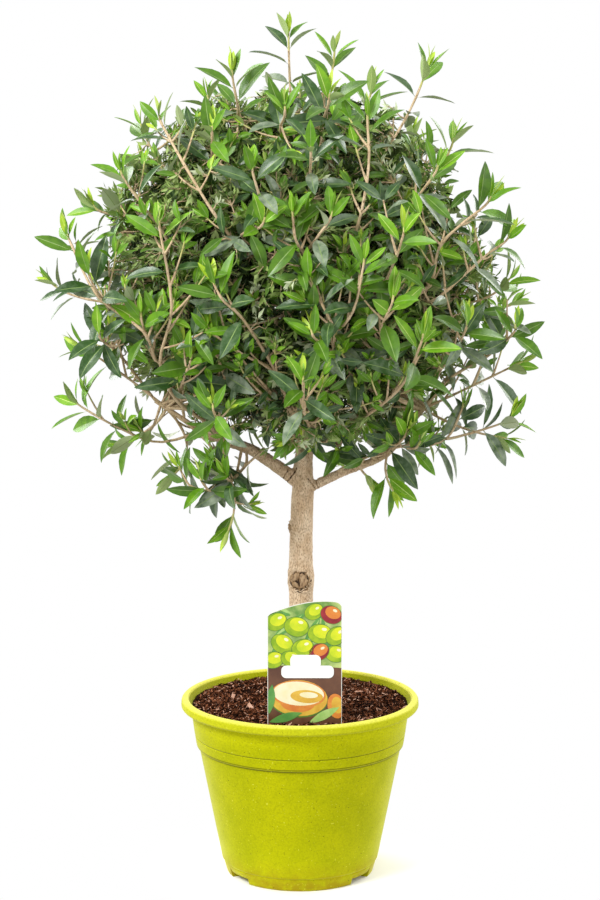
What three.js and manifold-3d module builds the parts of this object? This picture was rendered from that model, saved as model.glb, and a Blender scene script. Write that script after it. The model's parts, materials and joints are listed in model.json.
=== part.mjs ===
// A young olive tree, trained as a ball on one clear trunk, in a moulded plastic pot.
// Millimetres, +Z up. The origin is the centre of the pot's underside, where it stands.
//
// The crown is shared out among foliage masses. Each mass keeps to its own cell, the space
// that lies nearer to its heart than to any other mass's heart, and each grows from the tip
// of one bough (or from the trunk's tip) by the same seeded rule: a stem to the heart, shoots
// from the stem to evenly spread places on the outline, and opposite pairs of leaves on each.

import * as THREE from 'three';
import { mergeVertices } from 'three/addons/utils/BufferGeometryUtils.js';
import Module from 'manifold-3d';

const wasm = await Module();
wasm.setup();

// ---- Driving dimensions ------------------------------------------------------------------

const GAP = 0.3; // clearance between neighbouring solids
const DEGREE = Math.PI / 180;

const POT = {
  segments: 24,
  wall: 3,
  rimRadius: 120,
  rimTop: 182,
  rimUnderside: 172,
  rimRound: 4, // the lip's edges
  bandRadius: 110.2, // outer wall just under the rim
  bandFootRadius: 104.9,
  stepHeight: 132, // the wall steps out to the band here
  stepDepth: 2.6,
  stepRise: 2,
  bodyFootRadius: 78.6,
  footHeight: 14,
  footGroove: 1,
  footRadius: 73.7,
  footRingWidth: 6,
  floorTop: 9,
  floorUnderside: 5.5,
  bossRadius: 26, // middle of the floor, flush with the foot ring
  notchBearings: [54.5, 125.5, 234.5, 305.5], // from the front, clockwise seen from above
  notchWidth: 30,
  notchDepth: 24,
  notchHeight: 6,
  drainCount: 4,
  drainRadius: 5,
  drainSides: 8,
  drainCircle: 46,
};

const SOIL = { edgeHeight: 171.5, height: 172, mound: 2, moundRadius: 70, flatRadius: 26 };

const CARD = {
  width: 73,
  thickness: 0.8,
  foot: SOIL.height + SOIL.mound + 0.7,
  leftShoulder: 288,
  rightShoulder: 297,
  peak: 301,
  cornerRadius: 7,
  centreX: 4.6,
  centreY: -87,
  lean: -2 * DEGREE,
  stakeWidth: 18,
  stakeDepth: 60,
  stakeTaper: 16,
  stakeTipWidth: 2,
};

const TRUNK = {
  sides: 10,
  rings: 16,
  foot: SOIL.height + GAP,
  // The axis: a clear stem with a slight lean, then the leader that runs up inside the crown.
  axis: [
    [1, 0, SOIL.height + GAP], [1, 0, 282], [1.2, 0, 340], [3, 0, 400], [5, 1, 435],
    [19, 3, 490], [34, 6, 548], [26, 9, 622], [6, 10, 682],
  ],
  ringCrowding: 1.25, // the rings lie closer together at the foot, where the roots flare
  stemRadius: 12.7, // above the root flare
  forkRadius: 11.3,
  forkHeight: 385,
  leaderRadius: 8.4,
  leaderHeight: 440,
  tipRadius: 3.4,
  flareRadius: 7, // added at the foot
  flareHeight: 14,
};

// Healed pruning scars on the stem. A bearing is anticlockwise from +X, seen from above.
const SCARS = [
  { radius: 10, height: 301.5, proud: 2.2, bearing: 262 },
  { radius: 4.5, height: 357, proud: 3.4, bearing: 188 },
];
const SCAR = { sides: 10, sunk: 4, seat: 1.6 };

const CROWN = {
  centre: new THREE.Vector3(-7, 0, 612),
  reach: 204, // from the centre to the tip of an ordinary shoot
  reachSpread: 26,
  lowReach: 14, // more, for shoots that point well down and out
  shoots: 112, // evenly spread places on the outline, before the thinning below
  openBelow: -0.86, // no shoot points down more steeply: the trunk comes in here
  leaderSpacing: 13 * DEGREE, // ordinary shoots this near to a leading shoot give way to it
  jitter: 0.1,
  seed: 20,
};

// The leading shoots, which stand out of the ball: bearing in the XZ plane, anticlockwise from
// +X about the crown's centre, reach to the leaf tip, and lean towards +Y, all as seen from the
// front. The last ones do the same for the depth of the crown.
const LEADING_SHOOTS = [
  [209, 269, -6], [223, 276, 10], [178, 254, -4], [168, 250, 8], [156, 222, -8], [144, 218, 6],
  [132.5, 229, -6], [114, 217, 8], [100, 226, -8], [91, 258, 4], [80, 245, -10], [68, 222, 10],
  [58.5, 263, -5], [43, 227, 6], [31, 214, -8], [18, 234, 5], [4, 226, -8], [356, 243, 8],
  [343, 258, -6], [331, 262, 8], [325, 286, -5], [311, 245, 10], [296, 258, -12], [255, 284, -10],
  [238, 266, 8], [194, 236, -10],
  [80, 236, 38], [120, 230, -44], [30, 238, 62], [150, 240, -60], [200, 246, 66], [340, 240, -58],
];

// Each mass: the bearing of its heart about the crown's centre line (anticlockwise from +X,
// seen from above), how far out and how high it lies, and how flat its dense core is.
const MASSES = [
  { name: 'low_left', bearing: 189, out: 138, height: 488, flat: 0.6 },
  { name: 'low_front', bearing: 268, out: 112, height: 494, flat: 0.62 },
  { name: 'low_right', bearing: 352, out: 138, height: 488, flat: 0.6 },
  { name: 'low_back', bearing: 92, out: 116, height: 492, flat: 0.62 },
  { name: 'mid_left', bearing: 207, out: 118, height: 604, flat: 1 },
  { name: 'mid_front', bearing: 284, out: 118, height: 612, flat: 1 },
  { name: 'mid_right', bearing: 352, out: 120, height: 600, flat: 1 },
  { name: 'mid_back_right', bearing: 58, out: 120, height: 606, flat: 1 },
  { name: 'mid_back_left', bearing: 136, out: 120, height: 604, flat: 1 },
  { name: 'upper_left', bearing: 182, out: 80, height: 700, flat: 1 },
  { name: 'upper_front', bearing: 305, out: 78, height: 704, flat: 1 },
  { name: 'upper_back', bearing: 52, out: 80, height: 702, flat: 1 },
  { name: 'top', bearing: 95, out: 10, height: 744, flat: 1 },
];

const CORE = {
  radius: 92, // before it meets the walls of its cell
  cover: 22, // of core outside the heart, measured from the crown's centre: leaves stand out of it
  flatCover: 6,
  inner: 56, // from the crown's centre: the middle of the crown holds bare limbs
  wallGap: 3,
  rough: 0.16,
  detail: 1,
  cutClear: 2, // from any limb
};

// Each bough: what it springs from and how far along that, the places it passes through on its
// way to its mass, and its radius at both ends. It ends where it enters the mass's core.
const BOUGHS = [
  { name: 'mid_left', from: 'trunk', at: 400, via: [[-44, -8, 434], [-90, -24, 462]], radii: [6.6, 3.8] },
  { name: 'low_left', from: 'mid_left', at: 450, via: [[-92, -20, 452]], radii: [3.7, 2.8] },
  { name: 'low_right', from: 'trunk', at: 394, via: [[41, -8, 413], [84, -14, 432]], radii: [4.8, 3.2] },
  { name: 'mid_right', from: 'trunk', at: 446, via: [[41, -2, 460], [74, -8, 484]], radii: [4.6, 3.2] },
  { name: 'low_front', from: 'trunk', at: 414, via: [[0, -32, 440], [-6, -60, 460]], radii: [4.6, 3] },
  { name: 'low_back', from: 'trunk', at: 408, via: [[2, 34, 436], [-4, 66, 458]], radii: [4.8, 3] },
  { name: 'mid_front', from: 'trunk', at: 468, via: [[16, -24, 502], [20, -50, 540]], radii: [4.4, 3] },
  { name: 'mid_back_right', from: 'trunk', at: 458, via: [[28, 28, 488], [40, 54, 526]], radii: [4.4, 3] },
  { name: 'mid_back_left', from: 'trunk', at: 436, via: [[-26, 26, 468], [-58, 52, 514]], radii: [4.6, 3] },
  { name: 'upper_left', from: 'trunk', at: 492, via: [[-24, -6, 528], [-56, -6, 586]], radii: [4.6, 3] },
  { name: 'upper_front', from: 'trunk', at: 540, via: [[40, -20, 584], [40, -44, 632]], radii: [4, 2.8] },
  { name: 'upper_back', from: 'trunk', at: 552, via: [[42, 22, 596], [46, 40, 640]], radii: [4, 2.8] },
];

const LIMB = {
  sides: 6,
  rings: 4,
  collar: 1.25, // swelling at the root, of the radius there
  collarLength: 0.12, // of the bough
  coreClearance: 3, // from the tip to the core it meets
  lastStretch: 14, // at least this far from its last place to its tip
};

const STEM = { sides: 4, radius: 2.7, tipRadius: 2.3, neck: 5 };

const SHOOT = {
  sides: 3,
  steps: 2,
  radius: 2.2,
  tipRadius: 1.4,
  leafStart: 20, // from the shoot's end back to its first pair of leaves
  leafSpacing: 21,
  pairs: 2,
  leadingPairs: 3, // on a shoot that stands out of the ball
  sag: 0.13, // how far the shoot bows down before it turns up, of its length
  sagAt: 0.55,
  rootsFrom: 0.7, // shoots leave the stem between here and its end, the longest first
  rootSpan: 220,
  endLeafBack: 2.5,
};

const LEAF = {
  length: 47,
  width: 17,
  thickness: 1.8, // at the stalk end, thinning out to the tip
  ridge: 0.2, // where the leaf is thickest, of its length
  belly: 0.46, // where it is widest
  spread: 48 * DEGREE, // from the shoot, for the lowest pair
  spreadTip: 34 * DEGREE,
  droop: 0.16,
  curl: 1.5, // of the tip, away from the upper face
  tipScale: 0.78, // the highest pair and the end leaf are younger and smaller
  tipCover: 0.72, // how far the end leaf carries on past its shoot, of a full leaf
  variation: 0.08,
  rootOut: 0.3, // the stalk starts this far from the shoot's axis, of the shoot's radius
};

const CELL_MARGIN = 0.6; // from a mass's leaves to the wall of its cell
const LIMB_CLEARANCE = 1.2; // from a leaf or shoot to any limb
const CURVE_SAMPLES = 400;

const COLOURS = {
  pot: { color: 0xa9b81e, roughness: 0.55, metalness: 0 },
  soil: { color: 0x3a241b, roughness: 1, metalness: 0 },
  card: { color: 0xe8e6da, roughness: 0.35, metalness: 0 },
  bark: { color: 0xa98c6c, roughness: 0.9, metalness: 0 },
  foliage: { color: 0x3f6b2a, roughness: 0.5, metalness: 0 },
};

// ---- Small helpers -----------------------------------------------------------------------

const UP = new THREE.Vector3(0, 0, 1);

const vector = (place) => new THREE.Vector3(...place);

const blend = (from, to, share) => from + (to - from) * share;

function smoothCurve(places) {
  return new THREE.CatmullRomCurve3(places, false, 'catmullrom', 0.5);
}

// Moves the last of some points further along the line's own heading.
function lengthened(points, distance) {
  const longer = points.map((point) => point.clone());
  const last = longer.length - 1;
  longer[last].addScaledVector(endHeading(points), distance);
  return longer;
}

function endHeading(points) {
  const last = points.length - 1;
  return points[last].clone().sub(points[last - 1]).normalize();
}

// A seeded generator of numbers from 0 to 1 (mulberry32).
function seeded(seed) {
  let state = seed >>> 0;
  return () => {
    state = (state + 0x6d2b79f5) >>> 0;
    let mixed = Math.imul(state ^ (state >>> 15), 1 | state);
    mixed = (mixed + Math.imul(mixed ^ (mixed >>> 7), 61 | mixed)) ^ mixed;
    return ((mixed ^ (mixed >>> 14)) >>> 0) / 4294967296;
  };
}

function triangleGeometry(positions, index) {
  const geometry = new THREE.BufferGeometry();
  geometry.setAttribute('position', new THREE.Float32BufferAttribute(positions, 3));
  geometry.setIndex(index);
  return geometry;
}

// A closed geometry as a solid that can be joined and cut.
function solidOf(geometry) {
  const bare = geometry.clone();
  for (const name of Object.keys(bare.attributes)) {
    if (name !== 'position') bare.deleteAttribute(name);
  }
  const merged = mergeVertices(bare, 1e-4);
  const corners = merged.index.array;
  const triangles = [];
  for (let i = 0; i < corners.length; i += 3) {
    const [a, b, c] = corners.slice(i, i + 3);
    if (a !== b && b !== c && c !== a) triangles.push(a, b, c);
  }
  const mesh = new wasm.Mesh({
    numProp: 3,
    vertProperties: new Float32Array(merged.attributes.position.array),
    triVerts: new Uint32Array(triangles),
  });
  return new wasm.Manifold(mesh);
}

function geometryOf(solid) {
  const mesh = solid.getMesh();
  return triangleGeometry(Array.from(mesh.vertProperties), Array.from(mesh.triVerts));
}

// The largest body alone: loose scraps are dropped, and sealed hollows are filled with it.
function largestBody(solid) {
  const bodies = solid.decompose();
  return bodies.reduce((best, body) => (body.volume() > best.volume() ? body : best));
}

function joined(solids) {
  return solids.reduce((whole, solid) => whole.add(solid));
}

// A closed tube along points, with its own radius at each, square to its line at both ends.
function tubeGeometry(points, radii, sides) {
  const positions = [];
  const index = [];
  const tangents = points.map((point, i) => {
    const before = points[Math.max(i - 1, 0)];
    const after = points[Math.min(i + 1, points.length - 1)];
    return after.clone().sub(before).normalize();
  });
  const first = tangents[0];
  let side = Math.abs(first.y) < 0.9 ? new THREE.Vector3(0, 1, 0) : new THREE.Vector3(1, 0, 0);
  points.forEach((point, i) => {
    side = side.clone().addScaledVector(tangents[i], -side.dot(tangents[i])).normalize();
    const across = tangents[i].clone().cross(side);
    for (let k = 0; k < sides; k += 1) {
      const turn = (2 * Math.PI * k) / sides;
      const place = point.clone()
        .addScaledVector(side, radii[i] * Math.cos(turn))
        .addScaledVector(across, radii[i] * Math.sin(turn));
      positions.push(place.x, place.y, place.z);
    }
  });
  for (let i = 0; i < points.length - 1; i += 1) {
    for (let k = 0; k < sides; k += 1) {
      const a = i * sides + k;
      const b = i * sides + ((k + 1) % sides);
      index.push(a, b, b + sides, a, b + sides, a + sides);
    }
  }
  const last = (points.length - 1) * sides;
  for (let k = 1; k < sides - 1; k += 1) {
    index.push(0, k + 1, k);
    index.push(last, last + k, last + k + 1);
  }
  return triangleGeometry(positions, index);
}

// The shortest distance between two straight segments.
function segmentDistance(a0, a1, b0, b1) {
  const u = a1.clone().sub(a0);
  const v = b1.clone().sub(b0);
  const w = a0.clone().sub(b0);
  const uu = u.dot(u);
  const uv = u.dot(v);
  const vv = v.dot(v);
  const clamp = (x) => Math.min(Math.max(x, 0), 1);
  const det = uu * vv - uv * uv;
  let s = det > 1e-9 ? clamp((uv * v.dot(w) - vv * u.dot(w)) / det) : 0;
  const t = vv > 1e-9 ? clamp((uv * s + v.dot(w)) / vv) : 0;
  s = uu > 1e-9 ? clamp((uv * t - u.dot(w)) / uu) : 0;
  return a0.clone().addScaledVector(u, s).distanceTo(b0.clone().addScaledVector(v, t));
}

// ---- Pot, soil and card ------------------------------------------------------------------

function latheSolid(profile, segments) {
  const points = profile.map(([radius, height]) => new THREE.Vector2(radius, height));
  const geometry = new THREE.LatheGeometry(points, segments);
  geometry.rotateX(Math.PI / 2);
  return solidOf(geometry);
}

// The corners of the pot's inner wall, from the floor up to the lip: [radius, height].
function innerWall() {
  const { wall, stepHeight, stepRise, rimTop, rimRound } = POT;
  return [
    [POT.bodyFootRadius - wall, POT.floorTop],
    [POT.bandFootRadius - POT.stepDepth - wall, stepHeight - stepRise / 2],
    [POT.bandFootRadius - wall, stepHeight + stepRise],
    [POT.bandRadius - wall + 1, rimTop - rimRound],
  ];
}

function outerWall() {
  const { footHeight, footGroove, stepHeight, stepRise, rimRadius, rimTop, rimUnderside, rimRound } = POT;
  return [
    [POT.footRadius, 0],
    [POT.bodyFootRadius - footGroove, footHeight - footGroove],
    [POT.bodyFootRadius, footHeight],
    [POT.bandFootRadius - POT.stepDepth, stepHeight],
    [POT.bandFootRadius, stepHeight + stepRise],
    [POT.bandRadius, rimUnderside],
    [rimRadius - rimRound / 4, rimUnderside],
    [rimRadius, rimUnderside + rimRound],
    [rimRadius - rimRound, rimTop],
    [POT.bandRadius + rimRound / 2, rimTop],
  ];
}

function potSolid() {
  const { bossRadius, floorUnderside } = POT;
  const footInner = POT.footRadius - POT.footRingWidth;
  const underside = [
    [0, 0], [bossRadius, 0], [bossRadius + 2, floorUnderside], [footInner, floorUnderside], [footInner, 0],
  ];
  const profile = [...underside, ...outerWall(), ...innerWall().reverse(), [0, POT.floorTop]];
  let pot = latheSolid(profile, POT.segments);
  for (const bearing of POT.notchBearings) {
    const notch = new THREE.BoxGeometry(POT.notchWidth, POT.notchDepth, 2 * POT.notchHeight);
    notch.translate(0, -POT.footRadius, 0);
    notch.rotateZ(-bearing * DEGREE);
    pot = pot.subtract(solidOf(notch));
  }
  const { drainCount, drainRadius, drainSides } = POT;
  for (let i = 0; i < drainCount; i += 1) {
    const hole = new THREE.CylinderGeometry(drainRadius, drainRadius, 3 * POT.floorTop, drainSides);
    hole.rotateX(Math.PI / 2);
    hole.translate(POT.drainCircle, 0, 0);
    hole.rotateZ((i + 0.5) * (360 / drainCount) * DEGREE);
    pot = pot.subtract(solidOf(hole));
  }
  return pot;
}

// The soil fills the pot up to a hand's breadth of its lip, a little raised in a ring between
// the trunk and the wall. The card's stake stands in a slot in it.
function soilSolid() {
  const wall = innerWall().map(([radius, height]) => [radius - GAP * 1.2, height]);
  const [[floorRadius, floor], , [bandRadius, bandHeight], [lipRadius, lipHeight]] = wall;
  const edgeRadius = blend(bandRadius, lipRadius, (SOIL.edgeHeight - bandHeight) / (lipHeight - bandHeight));
  const profile = [
    [0, floor + GAP], [floorRadius, floor + GAP], wall[1], wall[2],
    [edgeRadius, SOIL.edgeHeight], [SOIL.moundRadius, SOIL.height + SOIL.mound],
    [SOIL.flatRadius, SOIL.height], [0, SOIL.height],
  ];
  return latheSolid(profile, POT.segments).subtract(solidOf(stakeSlotGeometry()));
}

// A flat plate of an outline drawn in the card's own plane, leaned back and set in its place.
function plateGeometry(shape, thickness) {
  const options = { depth: thickness, bevelEnabled: false, curveSegments: 4 };
  const geometry = new THREE.ExtrudeGeometry(shape, options);
  geometry.translate(0, -CARD.foot, -thickness / 2);
  geometry.rotateX(Math.PI / 2 + CARD.lean);
  geometry.translate(CARD.centreX, CARD.centreY, CARD.foot);
  return geometry;
}

// Starts an outline with the left side of the stake, its tip and its right side.
function stakeShape(grow) {
  const half = CARD.stakeWidth / 2 + grow;
  const tipHalf = CARD.stakeTipWidth / 2 + grow;
  const tip = CARD.foot - CARD.stakeDepth - grow;
  const shape = new THREE.Shape();
  shape.moveTo(-half, tip + CARD.stakeTaper);
  shape.lineTo(-tipHalf, tip);
  shape.lineTo(tipHalf, tip);
  shape.lineTo(half, tip + CARD.stakeTaper);
  return shape;
}

function stakeSlotGeometry() {
  const half = CARD.stakeWidth / 2 + GAP;
  const shape = stakeShape(GAP);
  shape.lineTo(half, SOIL.height + POT.wall * 3);
  shape.lineTo(-half, SOIL.height + POT.wall * 3);
  return plateGeometry(shape, CARD.thickness + 2 * GAP);
}

// The card has straight sides, rounded shoulders and an arched top that rises to the right.
function cardGeometry() {
  const { foot, leftShoulder, rightShoulder, cornerRadius: round } = CARD;
  const half = CARD.width / 2;
  const stake = CARD.stakeWidth / 2;
  const shape = stakeShape(0);
  shape.lineTo(stake, foot);
  shape.lineTo(half, foot);
  shape.lineTo(half, rightShoulder - round);
  shape.quadraticCurveTo(half, rightShoulder, half - round, rightShoulder + 1);
  shape.quadraticCurveTo(round / 2, CARD.peak, round - half, leftShoulder);
  shape.quadraticCurveTo(-half, leftShoulder - 2, -half, leftShoulder - round);
  shape.lineTo(-half, foot);
  shape.lineTo(-stake, foot);
  return plateGeometry(shape, CARD.thickness);
}

// ---- Trunk and boughs --------------------------------------------------------------------

const trunkCurve = smoothCurve(TRUNK.axis.map(vector));

function trunkRadius(height) {
  const foot = TRUNK.axis[0][2];
  const tip = TRUNK.axis[TRUNK.axis.length - 1][2];
  const { forkHeight, leaderHeight, stemRadius, forkRadius, leaderRadius, tipRadius } = TRUNK;
  const flare = TRUNK.flareRadius * Math.exp((foot - height) / TRUNK.flareHeight);
  const share = (from, to) => (height - from) / (to - from);
  if (height < forkHeight) return blend(stemRadius, forkRadius, share(foot, forkHeight)) + flare;
  if (height < leaderHeight) return blend(forkRadius, leaderRadius, share(forkHeight, leaderHeight));
  return blend(leaderRadius, tipRadius, share(leaderHeight, tip));
}

function trunkLine() {
  const points = [];
  for (let i = 0; i <= TRUNK.rings; i += 1) {
    points.push(trunkCurve.getPoint((i / TRUNK.rings) ** TRUNK.ringCrowding));
  }
  return points;
}

function trunkTube(grow) {
  const line = trunkLine();
  const radii = line.map((point) => trunkRadius(point.z) + grow);
  const points = lengthened(line, grow);
  points[0].z -= grow;
  return solidOf(tubeGeometry(points, radii, TRUNK.sides));
}

// A healed pruning scar: a raised rim round a hollow, set into the stem and facing outwards.
function scarSolid({ radius, height, proud, bearing }) {
  const profile = [
    [0, -SCAR.sunk], [radius * 0.94, -SCAR.sunk], [radius, proud * 0.4],
    [radius * 0.8, proud], [radius * 0.5, proud * 0.8], [0, proud * 0.3],
  ];
  const points = profile.map(([out, up]) => new THREE.Vector2(out, up));
  const geometry = new THREE.LatheGeometry(points, SCAR.sides);
  geometry.rotateZ(bearing * DEGREE - Math.PI / 2);
  const axis = pointAtHeight(trunkCurve, height);
  const surface = trunkRadius(height) - SCAR.seat;
  const turn = bearing * DEGREE;
  geometry.translate(axis.x + surface * Math.cos(turn), axis.y + surface * Math.sin(turn), height);
  return solidOf(geometry);
}

// The trunk with its scars, cut off flat just above the soil.
function trunkSolid() {
  const below = new THREE.BoxGeometry(200, 200, 100);
  below.translate(0, 0, TRUNK.axis[0][2] - 50);
  return joined([trunkTube(0), ...SCARS.map(scarSolid)]).subtract(solidOf(below));
}

function heartOf(mass) {
  const turn = mass.bearing * DEGREE;
  const { x, y } = CROWN.centre;
  return new THREE.Vector3(x + mass.out * Math.cos(turn), y + mass.out * Math.sin(turn), mass.height);
}

// The point of a curve that lies at a given height.
function pointAtHeight(curve, height) {
  let best = curve.getPoint(0);
  for (let i = 1; i <= CURVE_SAMPLES; i += 1) {
    const point = curve.getPoint(i / CURVE_SAMPLES);
    if (Math.abs(point.z - height) < Math.abs(best.z - height)) best = point;
  }
  return best;
}

const massNamed = (name) => MASSES.find((mass) => mass.name === name);

// A bough's line runs to a tip that lies just outside its mass's core.
function boughLine(bough, parent) {
  const mass = massNamed(bough.name);
  const heart = heartOf(mass);
  const root = pointAtHeight(parent.curve, bough.at);
  const places = bough.via.map(vector);
  const last = places[places.length - 1];
  const away = last.clone().sub(heart).normalize();
  const core = coreReach(mass, cellWalls(mass), away) + LIMB.coreClearance;
  const tip = heart.clone().addScaledVector(away, Math.min(core, last.distanceTo(heart) - LIMB.lastStretch));
  const curve = smoothCurve([root, ...places, tip]);
  const points = curve.getPoints(LIMB.rings);
  const radii = points.map((_, i) => {
    const share = i / LIMB.rings;
    const collar = 1 + (LIMB.collar - 1) * Math.exp(-share / LIMB.collarLength);
    return blend(bough.radii[0], bough.radii[1], share) * collar;
  });
  return { curve, points, radii, parent: bough.from };
}

// Every limb by name, as a line of points with a radius at each.
function limbLines() {
  const points = trunkLine();
  const trunk = { curve: trunkCurve, points, radii: points.map(({ z }) => trunkRadius(z)) };
  const limbs = new Map([['trunk', trunk]]);
  for (const bough of BOUGHS) {
    limbs.set(bough.name, boughLine(bough, limbs.get(bough.from)));
  }
  return limbs;
}

// A limb's solid, grown all round and past its tip.
function limbSolid(limbs, name, grow) {
  if (name === 'trunk') return trunkTube(grow);
  const { points, radii } = limbs.get(name);
  return solidOf(tubeGeometry(lengthened(points, grow), radii.map((radius) => radius + grow), LIMB.sides));
}

function boughSolid(limbs, name) {
  const parent = limbSolid(limbs, limbs.get(name).parent, GAP);
  return largestBody(limbSolid(limbs, name, 0).subtract(parent));
}

// ---- Foliage -----------------------------------------------------------------------------

function leadingTip([bearing, reach, lean]) {
  const turn = bearing * DEGREE;
  const flat = Math.cos(lean * DEGREE);
  const direction = new THREE.Vector3(flat * Math.cos(turn), Math.sin(lean * DEGREE), flat * Math.sin(turn));
  return { direction, reach };
}

// The tips that the shoots grow to: the leading shoots, and evenly spread places between them.
function shootTips() {
  const random = seeded(CROWN.seed);
  const leading = LEADING_SHOOTS.map(leadingTip);
  const spread = [];
  const goldenTurn = Math.PI * (3 - Math.sqrt(5));
  for (let i = 0; i < CROWN.shoots; i += 1) {
    const up = 1 - (2 * (i + 0.5)) / CROWN.shoots;
    const flat = Math.sqrt(1 - up * up);
    const turn = i * goldenTurn;
    const jitter = [random(), random(), random()].map((share) => (2 * share - 1) * CROWN.jitter);
    const direction = new THREE.Vector3(flat * Math.cos(turn), flat * Math.sin(turn), up);
    direction.add(vector(jitter)).normalize();
    const low = THREE.MathUtils.smoothstep(-direction.z, 0.2, 0.6);
    const reach = CROWN.reach + CROWN.lowReach * low + CROWN.reachSpread * random() ** 2;
    const free = leading.every((tip) => tip.direction.angleTo(direction) > CROWN.leaderSpacing);
    if (direction.z > CROWN.openBelow && free) spread.push({ direction, reach });
  }
  const tips = [...leading, ...spread];
  return tips.map(({ direction, reach }) => CROWN.centre.clone().addScaledVector(direction, reach));
}

// The walls of a mass's cell, half way to each other mass's heart.
function cellWalls(mass) {
  const heart = heartOf(mass);
  return MASSES.filter((other) => other !== mass).map((other) => {
    const normal = heartOf(other).sub(heart);
    const middle = heart.clone().addScaledVector(normal, 0.5);
    normal.normalize();
    return { normal, offset: normal.dot(middle) - CELL_MARGIN };
  });
}

function insideCell(walls, point, radius) {
  return walls.every(({ normal, offset }) => normal.dot(point) + radius < offset);
}

function clearOfLimbs(limbs, segments, radius) {
  for (const { points, radii } of limbs.values()) {
    for (let i = 0; i < points.length - 1; i += 1) {
      const reach = Math.max(radii[i], radii[i + 1]) + radius + LIMB_CLEARANCE;
      for (const [from, to] of segments) {
        if (segmentDistance(from, to, points[i], points[i + 1]) < reach) return false;
      }
    }
  }
  return true;
}

// The stem runs from just past the limb's tip to the mass's heart.
function stemOf(mass, limbs) {
  const { points } = limbs.get(mass.name) ?? limbs.get('trunk');
  const heading = endHeading(points);
  const root = points[points.length - 1].clone().addScaledVector(heading, GAP);
  const neck = root.clone().addScaledVector(heading, STEM.neck);
  return { points: [root, neck, heartOf(mass)], radii: [STEM.radius, STEM.radius, STEM.tipRadius] };
}

// A shoot leaves the stem, bows down a little and turns up towards its tip. It ends where its
// end leaf starts.
function shootLine(stem, tip) {
  const [, neck, heart] = stem.points;
  const outwards = tip.clone().sub(heart).normalize();
  const along = THREE.MathUtils.clamp(1 - heart.distanceTo(tip) / SHOOT.rootSpan, SHOOT.rootsFrom, 1);
  const root = neck.clone().lerp(heart, along);
  const end = tip.clone().addScaledVector(outwards, -LEAF.length * LEAF.tipCover);
  const bow = root.clone().lerp(end, SHOOT.sagAt);
  bow.z -= SHOOT.sag * root.distanceTo(end);
  const points = new THREE.QuadraticBezierCurve3(root, bow, end).getPoints(SHOOT.steps);
  const radii = points.map((_, i) => blend(SHOOT.radius, SHOOT.tipRadius, i / SHOOT.steps));
  return { points, radii };
}

// A leaf: a narrow closed blade, thickest near its stalk, with a ridge along its upper face.
function leafPoints(root, axis, face, length, width) {
  const across = axis.clone().cross(face).normalize();
  const place = (along, side, out) => root.clone()
    .addScaledVector(axis, along * length)
    .addScaledVector(across, (side * width) / 2)
    .addScaledVector(face, out);
  return [
    place(0, 0, 0), place(1, 0, -LEAF.curl), place(LEAF.belly, 1, 0), place(LEAF.belly, -1, 0),
    place(LEAF.ridge, 0, LEAF.thickness),
  ];
}

// Stalk, tip, right edge, left edge and ridge are corners 0 to 4.
const LEAF_FACES = [0, 2, 4, 0, 4, 3, 1, 4, 2, 1, 3, 4, 0, 3, 2, 1, 2, 3];

function leafEdges([root, tip, right, left]) {
  return [[root, right], [right, tip], [tip, left], [left, root], [root, tip]];
}

// The place on a line of points that lies a given way back from its end, and its heading there.
function backFromEnd(points, back) {
  let i = points.length - 1;
  let left = back;
  while (i > 1 && left > points[i].distanceTo(points[i - 1])) {
    left -= points[i].distanceTo(points[i - 1]);
    i -= 1;
  }
  const heading = points[i].clone().sub(points[i - 1]).normalize();
  return { node: points[i].clone().addScaledVector(heading, -left), heading };
}

// Opposite pairs of leaves, each pair a quarter turn on from the last, and one leaf at the end.
function shootLeaves(points, pairs, random) {
  const roll = random() * Math.PI;
  const leaves = [];
  for (let pair = 0; pair <= pairs; pair += 1) {
    const atEnd = pair === pairs;
    const back = atEnd ? SHOOT.endLeafBack : SHOOT.leafStart + (pairs - 1 - pair) * SHOOT.leafSpacing;
    const { node, heading } = backFromEnd(points, back);
    const level = heading.clone().cross(UP).normalize();
    const upper = level.clone().cross(heading).normalize();
    const youth = pair / pairs;
    const turn = roll + (pair * Math.PI) / 2;
    const out = level.clone().multiplyScalar(Math.cos(turn)).addScaledVector(upper, Math.sin(turn));
    const spread = atEnd ? 0 : blend(LEAF.spread, LEAF.spreadTip, youth);
    const size = blend(1, LEAF.tipScale, youth) * (1 + LEAF.variation * (2 * random() - 1));
    for (const side of atEnd ? [0] : [1, -1]) {
      const axis = heading.clone().multiplyScalar(Math.cos(spread));
      axis.addScaledVector(out, side * Math.sin(spread));
      axis.z -= LEAF.droop * (1 - youth);
      axis.normalize();
      const facing = atEnd ? upper : heading;
      const face = facing.clone().addScaledVector(axis, -facing.dot(axis)).normalize();
      const root = node.clone().addScaledVector(out, side * LEAF.rootOut * SHOOT.tipRadius);
      leaves.push(leafPoints(root, axis, face, LEAF.length * size, LEAF.width * size));
    }
  }
  return leaves;
}

// How far a core may reach from its heart in a direction: to a wall of its cell, to the
// crown's leafy shell outside it or to the bare middle of the crown.
function coreReach(mass, walls, direction) {
  const heart = heartOf(mass);
  let reach = CORE.radius / Math.hypot(direction.x, direction.y, direction.z / mass.flat);
  for (const { normal, offset } of walls) {
    const slope = normal.dot(direction);
    if (slope > 0) reach = Math.min(reach, (offset - CORE.wallGap - normal.dot(heart)) / slope);
  }
  const from = heart.clone().sub(CROWN.centre);
  const along = from.dot(direction);
  const hit = (radius) => along * along - from.lengthSq() + radius * radius;
  const cover = mass.flat < 1 ? CORE.flatCover : CORE.cover;
  reach = Math.min(reach, -along + Math.sqrt(hit(from.length() + cover)));
  if (along < 0 && hit(CORE.inner) > 0) reach = Math.min(reach, -along - Math.sqrt(hit(CORE.inner)));
  return reach;
}

function insideCore(mass, walls, point) {
  const out = point.clone().sub(heartOf(mass));
  const distance = out.length();
  return distance < coreReach(mass, walls, out.normalize());
}

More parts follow.
